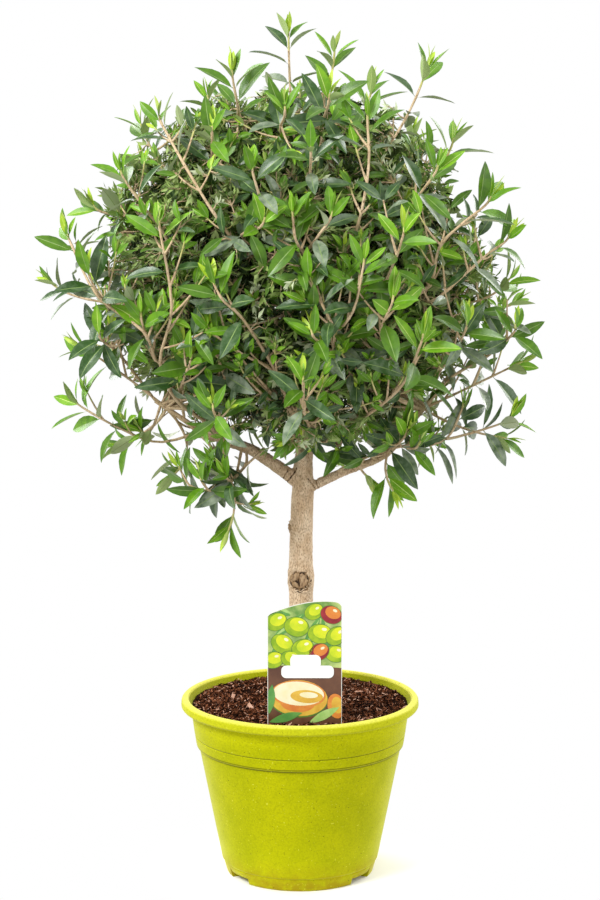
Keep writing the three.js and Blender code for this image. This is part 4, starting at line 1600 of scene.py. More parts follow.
@dataclass
class Crown:
    """The whole ball of foliage, grown by the solids' rule and carried on to finer twigs."""

    plan: Plan
    sprays: Sprays = field(default_factory=Sprays)
    seed: int = 20
    reach: float = 204.0
    reach_spread: float = 26.0
    low_reach: float = 14.0
    tips: int = 112
    open_below: float = -0.86
    leader_spacing: float = 13.0
    jitter: float = 0.1
    lift: tuple[float, float] = (0.35, 1.1)
    lift_from: tuple[float, float] = (-0.75, -0.2)
    approach: float = 0.5
    roots_from: float = 0.7
    root_span: float = 220.0
    tip_cover: float = 0.72
    leaf: float = 47.0
    leading: tuple[Place, ...] = (
        (223, 276, 10), (178, 254, -4), (168, 250, 8), (156, 222, -8), (144, 218, 6),
        (132.5, 229, -6), (114, 217, 8), (100, 226, -8), (91, 258, 4), (80, 245, -10), (68, 222, 10),
        (58.5, 263, -5), (43, 227, 6), (31, 214, -8), (18, 234, 5), (4, 226, -8), (356, 243, 8),
        (343, 258, -6), (331, 262, 8), (325, 286, -5), (311, 245, 10), (296, 258, -12), (255, 284, -10),
        (238, 266, 8), (194, 236, -10),
        (80, 236, 38), (120, 230, -44), (30, 238, 62), (150, 240, -60), (200, 246, 66), (340, 240, -58))
    branch_radii: tuple[float, float] = (0.9, 0.0048)
    branch_twin: float = 30.0
    branch_clear: float = 2.3
    front_spacing: float = 12.0
    bud_rise: float = 11.0
    side_backs: tuple[float, ...] = (38.0, 62.0, 86.0, 112.0, 140.0)
    side_sizes: tuple[float, float] = (0.46, 0.8)
    side_length: float = 50.0
    side_spread: float = 38.0
    side_reach: float = 206.0
    side_overhang: float = 22.0
    side_lift: tuple[float, float] = (-0.6, 0.35)
    inner_tips: int = 260
    inner_reach: tuple[float, float] = (134.0, 198.0)
    inner_sizes: tuple[float, float] = (0.38, 0.66)
    fill_count: int = 12500
    fill_radius: tuple[float, float] = (84.0, 194.0)
    fill_lumps: float = 0.14
    fill_flat_top: float = 0.94
    fill_floor: float = -166.0
    fill_low_front: float = 0.91
    fork_clear: float = 74.0
    fork_bare: float = 11.0
    fork_height: float = 440.0
    fork_top: float = -122.0
    fill_span: float = 62.0

    def __post_init__(self) -> None:
        """Readies the lists that the growth fills."""
        self.shoots: dict[str, list[Shoot]] = {mass.name: [] for mass in self.plan.masses}
        self.twiglets: dict[str, list[Array]] = {mass.name: [] for mass in self.plan.masses}
        self.stems = {mass.name: self.plan.stem(mass) for mass in self.plan.masses}
        self.names = [mass.name for mass in self.plan.masses]
        self.heart_places = np.array([self.plan.hearts[name] for name in self.names])
        limbs = [limb.curve.points(40)[10:] for limb in self.plan.limbs.values()]
        self.wood = np.vstack([*limbs, *(line for line, _ in self.stems.values())])
        self.branches = [self._branch(places) for places in BRANCHES]
        forks = np.vstack([self.plan.limbs[name].curve.points(90) for name in ("mid_left", "low_right")])
        self.fork = forks[forks[:, 2] < self.fork_height]

    def grow(self) -> None:
        """Grows every shoot and twiglet of the crown."""
        random = np.random.default_rng(self.seed)
        self.grow_shoots(random)
        self.grow_fill(random)

    def hides_fork(self, root: Array, axis: Array, length: float) -> bool:
        """Tells whether a leaf would hang in front of the fork's two boughs.

        Args:
            root: The leaf's root.
            axis: Its direction.
            length: Its length.

        Returns:
            True if it would.
        """
        for share in (0.5, 0.95):
            gap = self.fork - (root + unit(axis) * length * share)
            near = np.hypot(gap[:, 0], gap[:, 2]) < self.fork_bare
            if np.any(near & (gap[:, 1] > -4)):
                return True
        return False

    def mass_at(self, place: Array) -> str:
        """Returns the name of the mass whose own space a place lies in."""
        return self.names[int(np.linalg.norm(self.heart_places - place, axis=1).argmin())]

    def shoot_tips(self) -> list[tuple[Array, bool]]:
        """Returns the tips of the main shoots and whether each stands out of the ball."""
        random = Seeded(self.seed)
        leading = []
        for bearing, reach, lean in self.leading:
            turn, tilt = radians(bearing), radians(lean)
            flat = cos(tilt)
            leading.append((np.array([flat * cos(turn), sin(tilt), flat * sin(turn)]), reach))
        spread = []
        for i in range(self.tips):
            jitter = np.array([2 * random() - 1 for _ in range(3)]) * self.jitter
            direction = unit(spiral_way(i, self.tips) + jitter)
            low = min(max((-direction[2] - 0.2) / 0.4, 0), 1)
            low = low * low * (3 - 2 * low)
            reach = self.reach + self.low_reach * low + self.reach_spread * random() ** 2
            apart = min(acos(max(-1.0, min(1.0, float(direction @ other)))) for other, _ in leading)
            if direction[2] > self.open_below and apart > radians(self.leader_spacing):
                spread.append((direction, reach))
        limit = self.reach + self.reach_spread
        ends = np.array([line[-1] + (line[-1] - line[-2]) * 0.6 for line in self.branches])
        front = unit(ends - self.plan.middle)
        near = cos(radians(self.front_spacing))
        clear = [(way, reach) for way, reach in spread
                 if way[1] > -0.35 and float((front @ way).max()) < near]
        tips = [(self.plan.middle + way * reach, reach > limit) for way, reach in leading + clear]
        return [(tip, out) for tip, out in tips
                if tip[1] > 70 or np.hypot(*(ends - tip)[:, [0, 2]].T).min() > self.branch_twin]

    def _branch(self, places: tuple[Place, ...]) -> Array:
        """Gives the line of a branch, from the nearest wood and turned up at its tip.

        Args:
            places: The places that it passes.

        Returns:
            Its line.
        """
        given = np.array(places, float)
        wood = self.wood[np.linalg.norm(self.wood - given[0], axis=1).argmin()]
        heading = unit(given[-1] - given[-2]) * np.array([1, 0.35, 1]) + UP * 0.5
        bud = given[-1] + unit(heading) * self.bud_rise
        return SmoothCurve(np.vstack([wood, given, bud])).points(4 * (len(given) + 1))

    def shoot_root(self, name: str, tip: Array) -> Array:
        """Gives where on its mass's stem a shoot springs from.

        Args:
            name: The mass.
            tip: The shoot's tip.

        Returns:
            The place on the stem.
        """
        line, _ = self.stems[name]
        heart, neck = line[-1], line[1]
        span = float(np.linalg.norm(tip - heart))
        along = min(max(1 - span / self.root_span, self.roots_from), 1)
        root = neck + (heart - neck) * along
        return line[np.linalg.norm(line - root, axis=1).argmin()]

    def shoot_line(self, name: str, tip: Array, cover: float, zeal: float, steps: int = 14) -> Array:
        """Gives the line of a shoot that leaves its mass's stem and turns up towards the light.

        Args:
            name: The mass.
            tip: Where the shoot's leaves end.
            cover: How far its leaves reach past its wood.
            zeal: How strongly it turns up, of the usual.
            steps: Pieces in the line.

        Returns:
            The line's points.
        """
        root = self.shoot_root(name, tip)
        away = unit(tip - self.plan.middle)
        share = float(np.clip((away[2] - self.lift_from[0]) / (self.lift_from[1] - self.lift_from[0]), 0, 1))
        heading = unit(away + UP * blend(*self.lift, share) * zeal)
        end = tip - heading * cover
        back = self.approach * float(np.linalg.norm(end - root))
        if heading[2] > 0:
            back = min(back, max((end[2] - root[2] + 8) / heading[2], back * 0.35))
        return bent_line(root, end - heading * back, end, steps)

    def grow_shoots(self, random: Draws) -> None:
        """Grows the main shoots, their side twigs and the shorter shoots between them.

        Args:
            random: Draws the differences.
        """
        for tip, stands_out in self.shoot_tips():
            name = self.mass_at(tip)
            zeal = random.uniform(0.75, 1.1) if stands_out else random.uniform(1.1, 2.4)
            line = self.shoot_line(name, tip, self.leaf * self.tip_cover * 0.62, zeal)
            self._bear(name, line, 6 if stands_out else 5, random)
        for line in self.branches:
            self._bear(self.mass_at(line[-1]), line, 5 if line[-1][2] > 480 else 7, random)
        for i in range(self.inner_tips):
            way = unit(spiral_way(i, self.inner_tips, 1.3) + random.normal(0, 0.07, 3))
            if way[2] < -0.84:
                continue
            reach = random.uniform(*self.inner_reach)
            tip = self.plan.middle + way * reach
            name = self.mass_at(tip)
            line = self.shoot_line(name, tip, self.leaf * 0.3, random.uniform(0.6, 1.8), 9)
            tone = random.choice([Tone.DARK, Tone.GREEN, Tone.FRESH], p=[0.5, 0.35, 0.15])
            tuft = reach > 170 and random.random() < 0.7
            self.shoots[name].append(Shoot(line, (1.7, 0.7), 3, random.uniform(*self.inner_sizes), tone, tuft,
                                           random.uniform(0, pi)))

    def _bear(self, name: str, line: Array, pairs: int, random: Draws) -> None:
        """Makes a line into a main shoot with leaves and side twigs.

        Args:
            name: The mass.
            line: The shoot's line.
            pairs: Its pairs of leaves.
            random: Draws the differences.
        """
        tone = random.choice([Tone.GREEN, Tone.DARK, Tone.FRESH], p=[0.5, 0.34, 0.16])
        thick = self.branch_radii[0] + self.branch_radii[1] * float(np.linalg.norm(line[-1] - line[0]))
        shoot = Shoot(line, (max(thick, 1.6), 1.1), pairs, random.uniform(0.9, 1.1), tone,
                      roll=random.uniform(0, pi))
        self.shoots[name].append(shoot)
        self._side_twigs(shoot, name, random)

    def _side_twigs(self, shoot: Shoot, name: str, random: Draws) -> None:
        """Grows a twig to either side at places back along a shoot.

        Args:
            shoot: The shoot.
            name: The mass.
            random: Draws the differences.
        """
        steps = np.linalg.norm(np.diff(shoot.line, axis=0), axis=1)
        for order, back in enumerate(self.side_backs):
            back += random.uniform(-9, 9)
            if back > steps.sum() * 0.8:
                break
            node, heading = point_back(shoot.line, steps, back)
            out = square_way(heading, UP + 0.01, shoot.roll + order * pi / 2 + random.normal(0, 0.4))
            for side in (1, -1):
                if random.random() < 0.32:
                    continue
                spread = radians(self.side_spread + random.normal(0, 7))
                lift = blend(*self.side_lift, float(np.clip((node[2] - 445) / 50, 0, 1)))
                way = unit(heading * cos(spread) + out * side * sin(spread) + UP * lift)
                length = self.side_length * random.uniform(0.75, 1.3) * (0.75 + 0.45 * min(lift, 0.55))
                end = node + way * length
                out_there = float(np.linalg.norm(node - self.plan.middle))
                limit = max(self.side_reach, out_there + self.side_overhang)
                excess = np.linalg.norm(end - self.plan.middle) + 24 - limit
                if excess > 0:
                    end = end - unit(end - self.plan.middle) * excess
                if np.linalg.norm(end - node) < 18:
                    continue
                line = bent_line(node, (node + end) / 2 - UP * length * 0.1, end, 6)
                tone = random.choice([Tone.GREEN, Tone.DARK, Tone.FRESH], p=[0.4, 0.46, 0.14])
                twig = Shoot(line, (1.3, 0.7), 2 + int(random.random() < 0.5),
                             random.uniform(*self.side_sizes), tone, random.random() < 0.7,
                             random.uniform(0, pi))
                self.shoots[name].append(twig)

    def grow_fill(self, random: Draws) -> None:
        """Grows fine twiglets from the shoots until the ball is filled evenly.

        Args:
            random: Draws the differences.
        """
        targets = self._fill_targets(random)
        nodes: list[Array] = [line[2:] for line, _ in self.stems.values()]
        nodes += [shoot.line[1:-1] for group in self.shoots.values() for shoot in group]
        joined = np.vstack(nodes)
        left = targets
        for _ in range(4):
            tree = KDTree(len(joined))
            for i, place in enumerate(joined):
                tree.insert(place, i)
            tree.balance()
            found = [tree.find(place) for place in left]
            near = np.array([hit[2] for hit in found])
            grown = []
            for place, hit, gap in zip(left, found, near):
                if gap > self.fill_span or gap < 6:
                    continue
                line = self._twiglet(np.array(hit[0]), place, random)
                self.twiglets[self.mass_at(place)].append(line)
                grown.append(line[2:])
            left = left[near > self.fill_span]
            if not grown or not len(left):
                break
            joined = np.vstack([joined, *grown])

    def _fill_targets(self, random: Draws) -> Array:
        """Gives evenly scattered places in the leafy shell, clear of the open fork.

        Args:
            random: Draws the differences.

        Returns:
            The places, one row each.
        """
        inner, outer = self.fill_radius
        ways = unit(random.normal(size=(self.fill_count, 3)))
        radius = inner + (outer - inner) * random.beta(2.5, 2.1, self.fill_count)
        lump = rough_noise(ways * 2.6, 3, 2)
        places = ways * (radius * (1 + self.fill_lumps * lump))[:, None]
        places[:, 2] *= np.where(places[:, 2] > 0, self.fill_flat_top, 1)
        places[(places[:, 1] < -40) & (places[:, 2] < 0)] *= self.fill_low_front
        flat = np.hypot(places[:, 0], places[:, 1])
        open_fork = (flat < self.fork_clear) & (places[:, 2] < self.fork_top)
        keep = (places[:, 2] > self.fill_floor) & ~open_fork
        runs = np.vstack([line[4:-3] for line in self.branches]) - self.plan.middle
        depth = np.linalg.norm(runs, axis=1)
        turned = (places / np.linalg.norm(places, axis=1)[:, None]) @ (runs / depth[:, None]).T
        over = (turned > cos(radians(self.branch_clear))) & (
            np.linalg.norm(places, axis=1)[:, None] > depth - 6)
        return places[keep & ~over.any(axis=1)] + self.plan.middle

    def _twiglet(self, root: Array, tip: Array, random: Draws) -> Array:
        """Gives a four point line with a slight crook in it.

        Args:
            root: Where it springs from.
            tip: Where it ends.
            random: Draws the differences.

        Returns:
            The line.
        """
        span = tip - root
        size = float(np.linalg.norm(span))
        share = np.array([0, 0.36, 0.7, 1.0])[:, None]
        crook = random.normal(0, 0.09, (4, 3)) * size
        crook[0] = crook[3] = 0
        return root + span * share + crook


@dataclass
class SmallLeaves:
    """The fine inner leaves: folded slips with four faces each."""

    per_twiglet: int = 9
    length: tuple[float, float] = (6.0, 14.0)
    slimness: float = 0.29
    fold: float = 0.3
    pattern: tuple[tuple[int, int, int], ...] = ((0, 2, 1), (0, 3, 2), (1, 2, 4), (2, 3, 4))

    def build(self, lines: Array, middle_of_crown: Array,
              random: Draws) -> tuple[Array, Array]:
        """Sets the leaves of many twiglets.

        Args:
            lines: The twiglets, as (twiglet, point, xyz).
            middle_of_crown: Leaves far from it are lighter, as painted light at the rim.
            random: Draws the differences.

        Returns:
            The leaves' points and one tone number for each leaf.
        """
        count = len(lines) * self.per_twiglet
        which = np.repeat(np.arange(len(lines)), self.per_twiglet)
        share = random.uniform(0.25, 1.0, count)
        knot = np.clip((share * 3).astype(int), 0, 2)
        inside = (share * 3 - knot)[:, None]
        start, end = lines[which, knot], lines[which, knot + 1]
        root = start + (end - start) * inside
        heading = unit(end - start)
        swing = unit(np.cross(heading, random.normal(size=(count, 3))))
        spread = np.radians(random.uniform(20, 58, count))[:, None]
        axis = unit(heading * np.cos(spread) + swing * np.sin(spread))
        face = unit(heading - axis * (heading * axis).sum(axis=1, keepdims=True))
        across = np.cross(axis, face)
        far = np.linalg.norm(lines[:, -1] - middle_of_crown, axis=1)
        # Towards the rim the leaves take paler tones as painted light; deep inside, mostly the darkest, as painted
        # shade.
        outer = np.clip((far - 142) / 40, 0, 1)
        size = random.uniform(*self.length, count)[:, None]
        half = size * self.slimness / 2 * random.uniform(0.8, 1.2, (count, 1))
        middle = root + axis * size * 0.48
        lift = face * half * self.fold
        tip = root + axis * size - face * size * 0.08
        points = np.stack([root, middle - across * half + lift, middle - lift * 0.4,
                           middle + across * half + lift, tip], axis=1)
        shaded_deep_tone = random.choice(4, size=len(lines), p=[0.64, 0.2, 0.08, 0.08])
        lit_rim_tone = random.choice(4, size=len(lines), p=[0.05, 0.43, 0.42, 0.1])
        return points, np.where(random.random(len(lines)) < outer, lit_rim_tone, shaded_deep_tone)[which]


@dataclass
class Foliage:
    """Makes each mass's leaves, fine leaves and twigs as joined pieces."""

    crown: Crown
    box: Sequence[Vector]
    leaf: LeafShape = field(default_factory=LeafShape)
    small: SmallLeaves = field(default_factory=SmallLeaves)
    twig_sides: int = 6
    margin: float = 1.0

    def build(self, leaf_skins: Materials, small_skins: Materials,
              twig_skins: Materials) -> list[Piece]:
        """Makes every mass.

        Args:
            leaf_skins: By the numbers of Tone.
            small_skins: The fine leaves' materials.
            twig_skins: By the numbers of TwigTone.

        Returns:
            The pieces.
        """
        made = []
        for number, mass in enumerate(self.crown.plan.masses):
            random = np.random.default_rng(self.crown.seed * 100 + number)
            node = "foliage_" + mass.name
            made.append(seat(self._leaves(mass.name, random, leaf_skins), "leaf", node))
            made.append(seat(self._twigs(mass.name, random, twig_skins), "bark", node))
            made.append(seat(self._small(mass.name, random, small_skins), "leaf", node))
        return made

    def _leaves(self, name: str, random: Draws,
                skins: Materials) -> Piece:
        """Makes the full leaves of a mass.

        Args:
            name: The mass.
            random: Draws the differences.
            skins: The leaves' materials.

        Returns:
            The piece.
        """
        rows = [row for shoot in self.crown.shoots[name] for row in self.crown.sprays.leaves(shoot, random)
                if not self.crown.hides_fork(row[0], row[1], row[3])]
        columns = list(zip(*rows))
        tone = np.array([value.value for value in columns[8]])
        batch = LeafBatch(*(np.array(column, float) for column in columns[:8]), tone=tone)
        points = self._held_in(self.leaf.points(batch))
        pattern = self.leaf.triangles()
        rib = np.where(tone <= Tone.YOUNG.value, Tone.YOUNG_RIB.value, Tone.RIB.value)
        slots = np.where(self.leaf.rib_faces()[None], rib[:, None], tone[:, None])
        return Faces().add_copies(points, pattern, slots).to_object("leaves_" + name, skins)

    def _held_in(self, points: Array) -> Array:
        """Moves leaves that reach past the solids' box back inside it, each as a whole.

        Args:
            points: The leaves' points, changed in place.

        Returns:
            The same points.
        """
        low, high = (np.array(corner) / MM for corner in self.box)
        for axis in range(3):
            under = np.maximum(low[axis] - self.margin - points[..., axis].min(axis=1), 0)
            over = np.maximum(points[..., axis].max(axis=1) - high[axis] - self.margin, 0)
            points[..., axis] += (under - over)[:, None]
        return points

    def _twigs(self, name: str, random: Draws,
               skins: Materials) -> Piece:
        """Makes the stem, shoots and twiglets of a mass.

        Args:
            name: The mass.
            random: Draws the differences.
            skins: The twigs' materials.

        Returns:
            The piece.
        """
        faces = Faces()
        stem, radius = self.crown.stems[name]
        radii = np.linspace(radius, 2.2, len(stem))
        pattern = grid_triangles(len(stem), 12, wrap=True)
        faces.add(tube_points(stem[None], radii[None], 12)[0], pattern, TwigTone.WOOD.value)
        for shoot in self.crown.shoots[name]:
            rings = len(shoot.line)
            share = np.linspace(0, 1, rings)
            radii = shoot.radii[0] + (shoot.radii[1] - shoot.radii[0]) * share ** 0.8
            radii = radii * (1 + 0.1 * np.sin(share * 31 + shoot.roll * 4))
            pattern = grid_triangles(rings, self.twig_sides, wrap=True)
            ring = np.arange(len(pattern)) // (2 * self.twig_sides)
            green_from = rings - 2 if shoot.tuft else rings + 1
            slots = np.where(ring >= green_from - 1, TwigTone.GREEN.value, TwigTone.WOOD.value)
            faces.add(tube_points(shoot.line[None], radii[None], self.twig_sides)[0], pattern, slots)
        lines = np.array(self.crown.twiglets[name])
        if len(lines):
            size = np.linalg.norm(lines[:, -1] - lines[:, 0], axis=1)[:, None]
            thick = 0.65 + 0.01 * size
            radii = thick * np.array([[1.0, 0.85, 0.65, 0.3]])
            pattern = grid_triangles(4, 3, wrap=True)
            slots = np.zeros((len(lines), len(pattern)), int)
            slots[random.random(len(lines)) < 0.2] = TwigTone.GREEN.value
            faces.add_copies(tube_points(lines, radii, 3), pattern, slots)
        return faces.to_object("twigs_" + name, skins)

    def _small(self, name: str, random: Draws,
               skins: Materials) -> Piece:
        """Makes the fine inner leaves of a mass.

        Args:
            name: The mass.
            random: Draws the differences.
            skins: The fine leaves' materials.

        Returns:
            The piece.
        """
        points, tone = self.small.build(np.array(self.crown.twiglets[name]), self.crown.plan.middle, random)
        pattern = np.array(self.small.pattern)
        slots = np.repeat(tone[:, None], len(pattern), axis=1)
        return Faces().add_copies(points, pattern, slots).to_object("fine_leaves_" + name, skins)


# ---- Pot, soil and card --------


@dataclass
class Pot:
    """The moulded pot: rolled lip, crease, step, tapering wall, notched foot and drained floor."""

    columns: int = 216
    foot_radius: float = 75.0
    ring_inner: float = 67.7
    body_foot: float = 80.0
    step_height: float = 132.0
    band_foot: float = 105.9
    crease: float = 144.0
    band_top: float = 111.2
    rim_radius: float = 121.0
    rim_under: float = 172.0
    rim_top: float = 182.0
    inner_lip: float = 112.8
    notches: tuple[float, ...] = (54.5, 125.5, 234.5, 305.5)
    notch_width: float = 30.0
    notch_height: float = 6.0
    drain_circle: float = 46.0
    drain_radius: float = 5.0

    def _profile(self) -> list[tuple[float, float]]:
        """Returns the wall's outline from the middle of the underside round to the floor."""
        slope = (self.band_top - self.band_foot) / (self.rim_under - self.step_height - 2)
        crease_radius = self.band_foot + slope * (self.crease - self.step_height - 2)
        return supported(rounded([
            (0, 0, 0), (26, 0, 1.2), (28, 5.5, 1.2), (self.ring_inner, 5.5, 1.2), (self.ring_inner, 0, 1.0),
            (self.foot_radius, 0, 1.4), (78.4, 12.2, 0.8), (78.3, 13.2, 0.5), (self.body_foot, 14.4, 0.9),
            (self.band_foot - 2.9, self.step_height - 0.6, 0.9),
            (self.band_foot - 0.5, self.step_height + 0.4, 1.0),
            (self.band_foot + 0.1, self.step_height + 3, 1.0),
            (crease_radius - 0.1, self.crease - 0.9, 0.4), (crease_radius - 0.75, self.crease, 0.3),
            (crease_radius + 0.25, self.crease + 0.9, 0.4),
            (self.band_top, self.rim_under - 0.5, 1.0), (self.rim_radius - 1.4, self.rim_under - 0.3, 1.0),
            (self.rim_radius, self.rim_under + 1.6, 1.0), (self.rim_radius - 0.4, self.rim_top - 2.4, 1.2),
            (self.rim_radius - 2.8, self.rim_top, 1.4), (self.inner_lip + 1.6, self.rim_top, 1.4),
            (self.inner_lip, self.rim_top - 2.4, 1.2), (self.inner_lip - 3.2, self.rim_under + 1.0, 1.6),
            (self.band_foot - 3, self.step_height + 2, 1.5),
            (self.band_foot - 5.6, self.step_height - 1, 1.5),
            (75.6, 9, 3.0), (0, 9, 0)]))

    def _cuts(self) -> list[tuple[float, float]]:
        """Returns the angles at each notch's middle and from there to its sides."""
        half = asin(self.notch_width / 2 / self.foot_radius)
        return [(-pi / 2 - radians(bearing), half) for bearing in self.notches]

    def _turns(self) -> Array:
        """Returns the columns' angles, with a close pair at each side of each notch."""
        sides = [middle + side * half for middle, half in self._cuts() for side in (-1, 1)]
        pairs = [(side + gap) % FULL_TURN for side in sides for gap in (-0.0012, 0.0012)]
        return np.array(sorted([*full_turn(self.columns), *pairs]))

    def build(self, plastic: Material) -> list[Piece]:
        """Makes the pot.

        Args:
            plastic: Its material.

        Returns:
            The one piece.
        """
        points, triangles = lathe(self._profile(), self._turns())
        radius = np.hypot(points[:, 0], points[:, 1])
        bearing = np.arctan2(points[:, 1], points[:, 0])
        for middle, half in self._cuts():
            off = np.abs((bearing - middle + pi) % FULL_TURN - pi)
            cut = (off < half) & (radius > self.ring_inner - 1) & (points[:, 2] < self.notch_height)
            points[cut, 2] = self.notch_height
        outer = (radius > 76) & (points[:, 2] > 2)
        ways = np.stack([np.cos(bearing), np.sin(bearing), points[:, 2] / 90], axis=1)
        points[outer, :2] *= (1 + 0.0012 * rough_noise(ways * 1.7, 9, 2)[outer])[:, None]
        piece = Faces().add(points, triangles).to_object("pot_shell", [plastic])
        self._drill(piece)
        piece.data.polygons.foreach_set("use_smooth", np.full(len(piece.data.polygons), True))
        self._sharpen(piece)
        return [seat(piece, "pot_plastic", "pot")]

    def _drill(self, piece: Piece) -> None:
        """Cuts the drain holes through the floor.

        Args:
            piece: The pot.
        """
        faces = Faces()
        profile = [(0, -4), (self.drain_radius, -4), (self.drain_radius, 20), (0, 20)]
        points, triangles = lathe(profile, full_turn(20))
        for quarter in range(4):
            faces.add(points + self.drain_circle * level_bearing(45 + 90 * quarter), triangles)
        drill = faces.to_object("drill", [])
        cut = piece.modifiers.new("drain", "BOOLEAN")
        cut.operation = "DIFFERENCE"
        cut.solver = "EXACT"
        cut.object = drill
        bpy.context.view_layer.update()
        bake_modifiers(piece)
        bpy.data.objects.remove(drill)

    @staticmethod
    def _sharpen(piece: Piece) -> None:
        """Keeps the shading crisp at the notches and the step.

        Args:
            piece: The pot.
        """
        shape = bmesh.new()
        shape.from_mesh(piece.data)
        for edge in shape.edges:
            if len(edge.link_faces) == 2 and edge.calc_face_angle(0) > radians(32):
                edge.smooth = False
        shape.to_mesh(piece.data)
        shape.free()


@dataclass
class Soil:
    """Damp potting mix: a lumpy bed and loose chips of bark over it."""

    seed: int = 5
    edge_radius: float = 109.3
    height: float = 174.0
    mound: float = 2.0
    chips: int = 7000
    chip_length: tuple[float, float] = (2.2, 7.0)
    chip_width: tuple[float, float] = (0.8, 2.1)
    big_chips: int = 12
    big_chip_size: tuple[float, float] = (11.0, 5.0)
    stem_clear: float = 17.0

    def level(self, places: Array) -> Array:
        """Gives the bed's height at places in plan.

        Args:
            places: The places.

        Returns:
            One height for each.
        """
        radius = np.hypot(places[:, 0], places[:, 1])
        ring = self.mound * np.exp(-((radius - 66) / 26) ** 2)
        flat = np.column_stack([places[:, :2] * 0.11, np.zeros(len(places))])
        return self.height + ring + 0.9 * rough_noise(flat, 21, 3) + 0.8 * (radius / self.edge_radius) ** 6

    def build(self, bed: Material, chip_skins: Materials) -> list[Piece]:
        """Makes the bed and the chips.

        Args:
            bed: The bed's material.
            chip_skins: The chips' materials, commonest first.

        Returns:
            The two pieces.
        """
        radii = np.linspace(self.edge_radius, 1.2, 74)
        profile = [(0, 9.6), (74.8, 9.6), (98.2, 131), (101, 135), (107.2, 168.5)]
        profile += [(float(radius), self.height) for radius in radii] + [(0, self.height)]
        points, triangles = lathe(profile, full_turn(220))
        top = points[:, 2] > 170
        points[top, 2] = self.level(points[top])
        made = Faces().add(points, triangles).to_object("soil_bed", [bed]), self._chips(chip_skins)
        return [seat(piece, "potting_mix", "soil") for piece in made]

    def _chips(self, skins: Materials) -> Piece:
        """Makes the loose chips as one joined mesh of splinters.

        Args:
            skins: The chips' materials.

        Returns:
            The piece.
        """
        random = np.random.default_rng(self.seed)
        radius = np.sqrt(random.uniform((self.stem_clear / self.edge_radius) ** 2, 1, self.chips))
        turn = random.uniform(0, 2 * pi, self.chips)
        plan = np.column_stack([np.cos(turn), np.sin(turn)]) * (radius * (self.edge_radius - 2.5))[:, None]
        middle = np.column_stack([plan, self.level(plan) + random.uniform(-0.2, 2.0, self.chips)])
        spin = random.uniform(0, 2 * pi, self.chips)
        tilt = random.normal(0, 0.5, self.chips)
        axis = np.column_stack([np.cos(spin) * np.cos(tilt), np.sin(spin) * np.cos(tilt), np.sin(tilt)])
        across = unit(np.cross(axis, random.normal(0, 0.45, (self.chips, 3)) + UP))
        face = np.cross(across, axis)
        skew = random.random(self.chips)[:, None] ** 1.6
        length = blend(*self.chip_length, skew)
        width = random.uniform(*self.chip_width, (self.chips, 1))
        length[:self.big_chips], width[:self.big_chips] = self.big_chip_size
        middle[:self.big_chips, 2] += 1.0
        depth = random.uniform(0.5, 1.2, (self.chips, 1))
        corners = []
        for end in (-1, 1):
            for side, rise in ((-1, -1), (1, -1), (1, 1), (-1, 1)):
                wobble = random.uniform(0.35, 1.0, (self.chips, 1))
                corners.append(middle + axis * end * length / 2 * random.uniform(0.7, 1, (self.chips, 1))
                               + across * side * width / 2 * wobble + face * rise * depth / 2 * wobble)
        points = np.stack(corners, axis=1)
        square = [(0, 1, 5, 4), (1, 2, 6, 5), (2, 3, 7, 6), (3, 0, 4, 7), (3, 2, 1, 0), (4, 5, 6, 7)]
        pattern = np.array([tri for a, b, c, d in square for tri in ((a, b, c), (a, c, d))])
        tone = random.choice(len(skins), size=self.chips, p=[0.38, 0.34, 0.19, 0.09])
        tone[:self.big_chips] = 3
        slots = np.repeat(tone[:, None], len(pattern), axis=1)
        return Faces().add_copies(points, pattern, slots).to_object("soil_chips", skins, smooth=False)


class Ink(Enum):
    """The card's printed colours, and the number of each one's material."""

    STOCK = 0
    PALE = 1
    LEAF = 2
    LIGHT_LEAF = 3
    LIME = 4
    YELLOW = 5
    SHADE = 6
    RED = 7
    ORANGE = 8
    BROWN = 9
    GOLD = 10
    CREAM = 11
    WHITE = 12


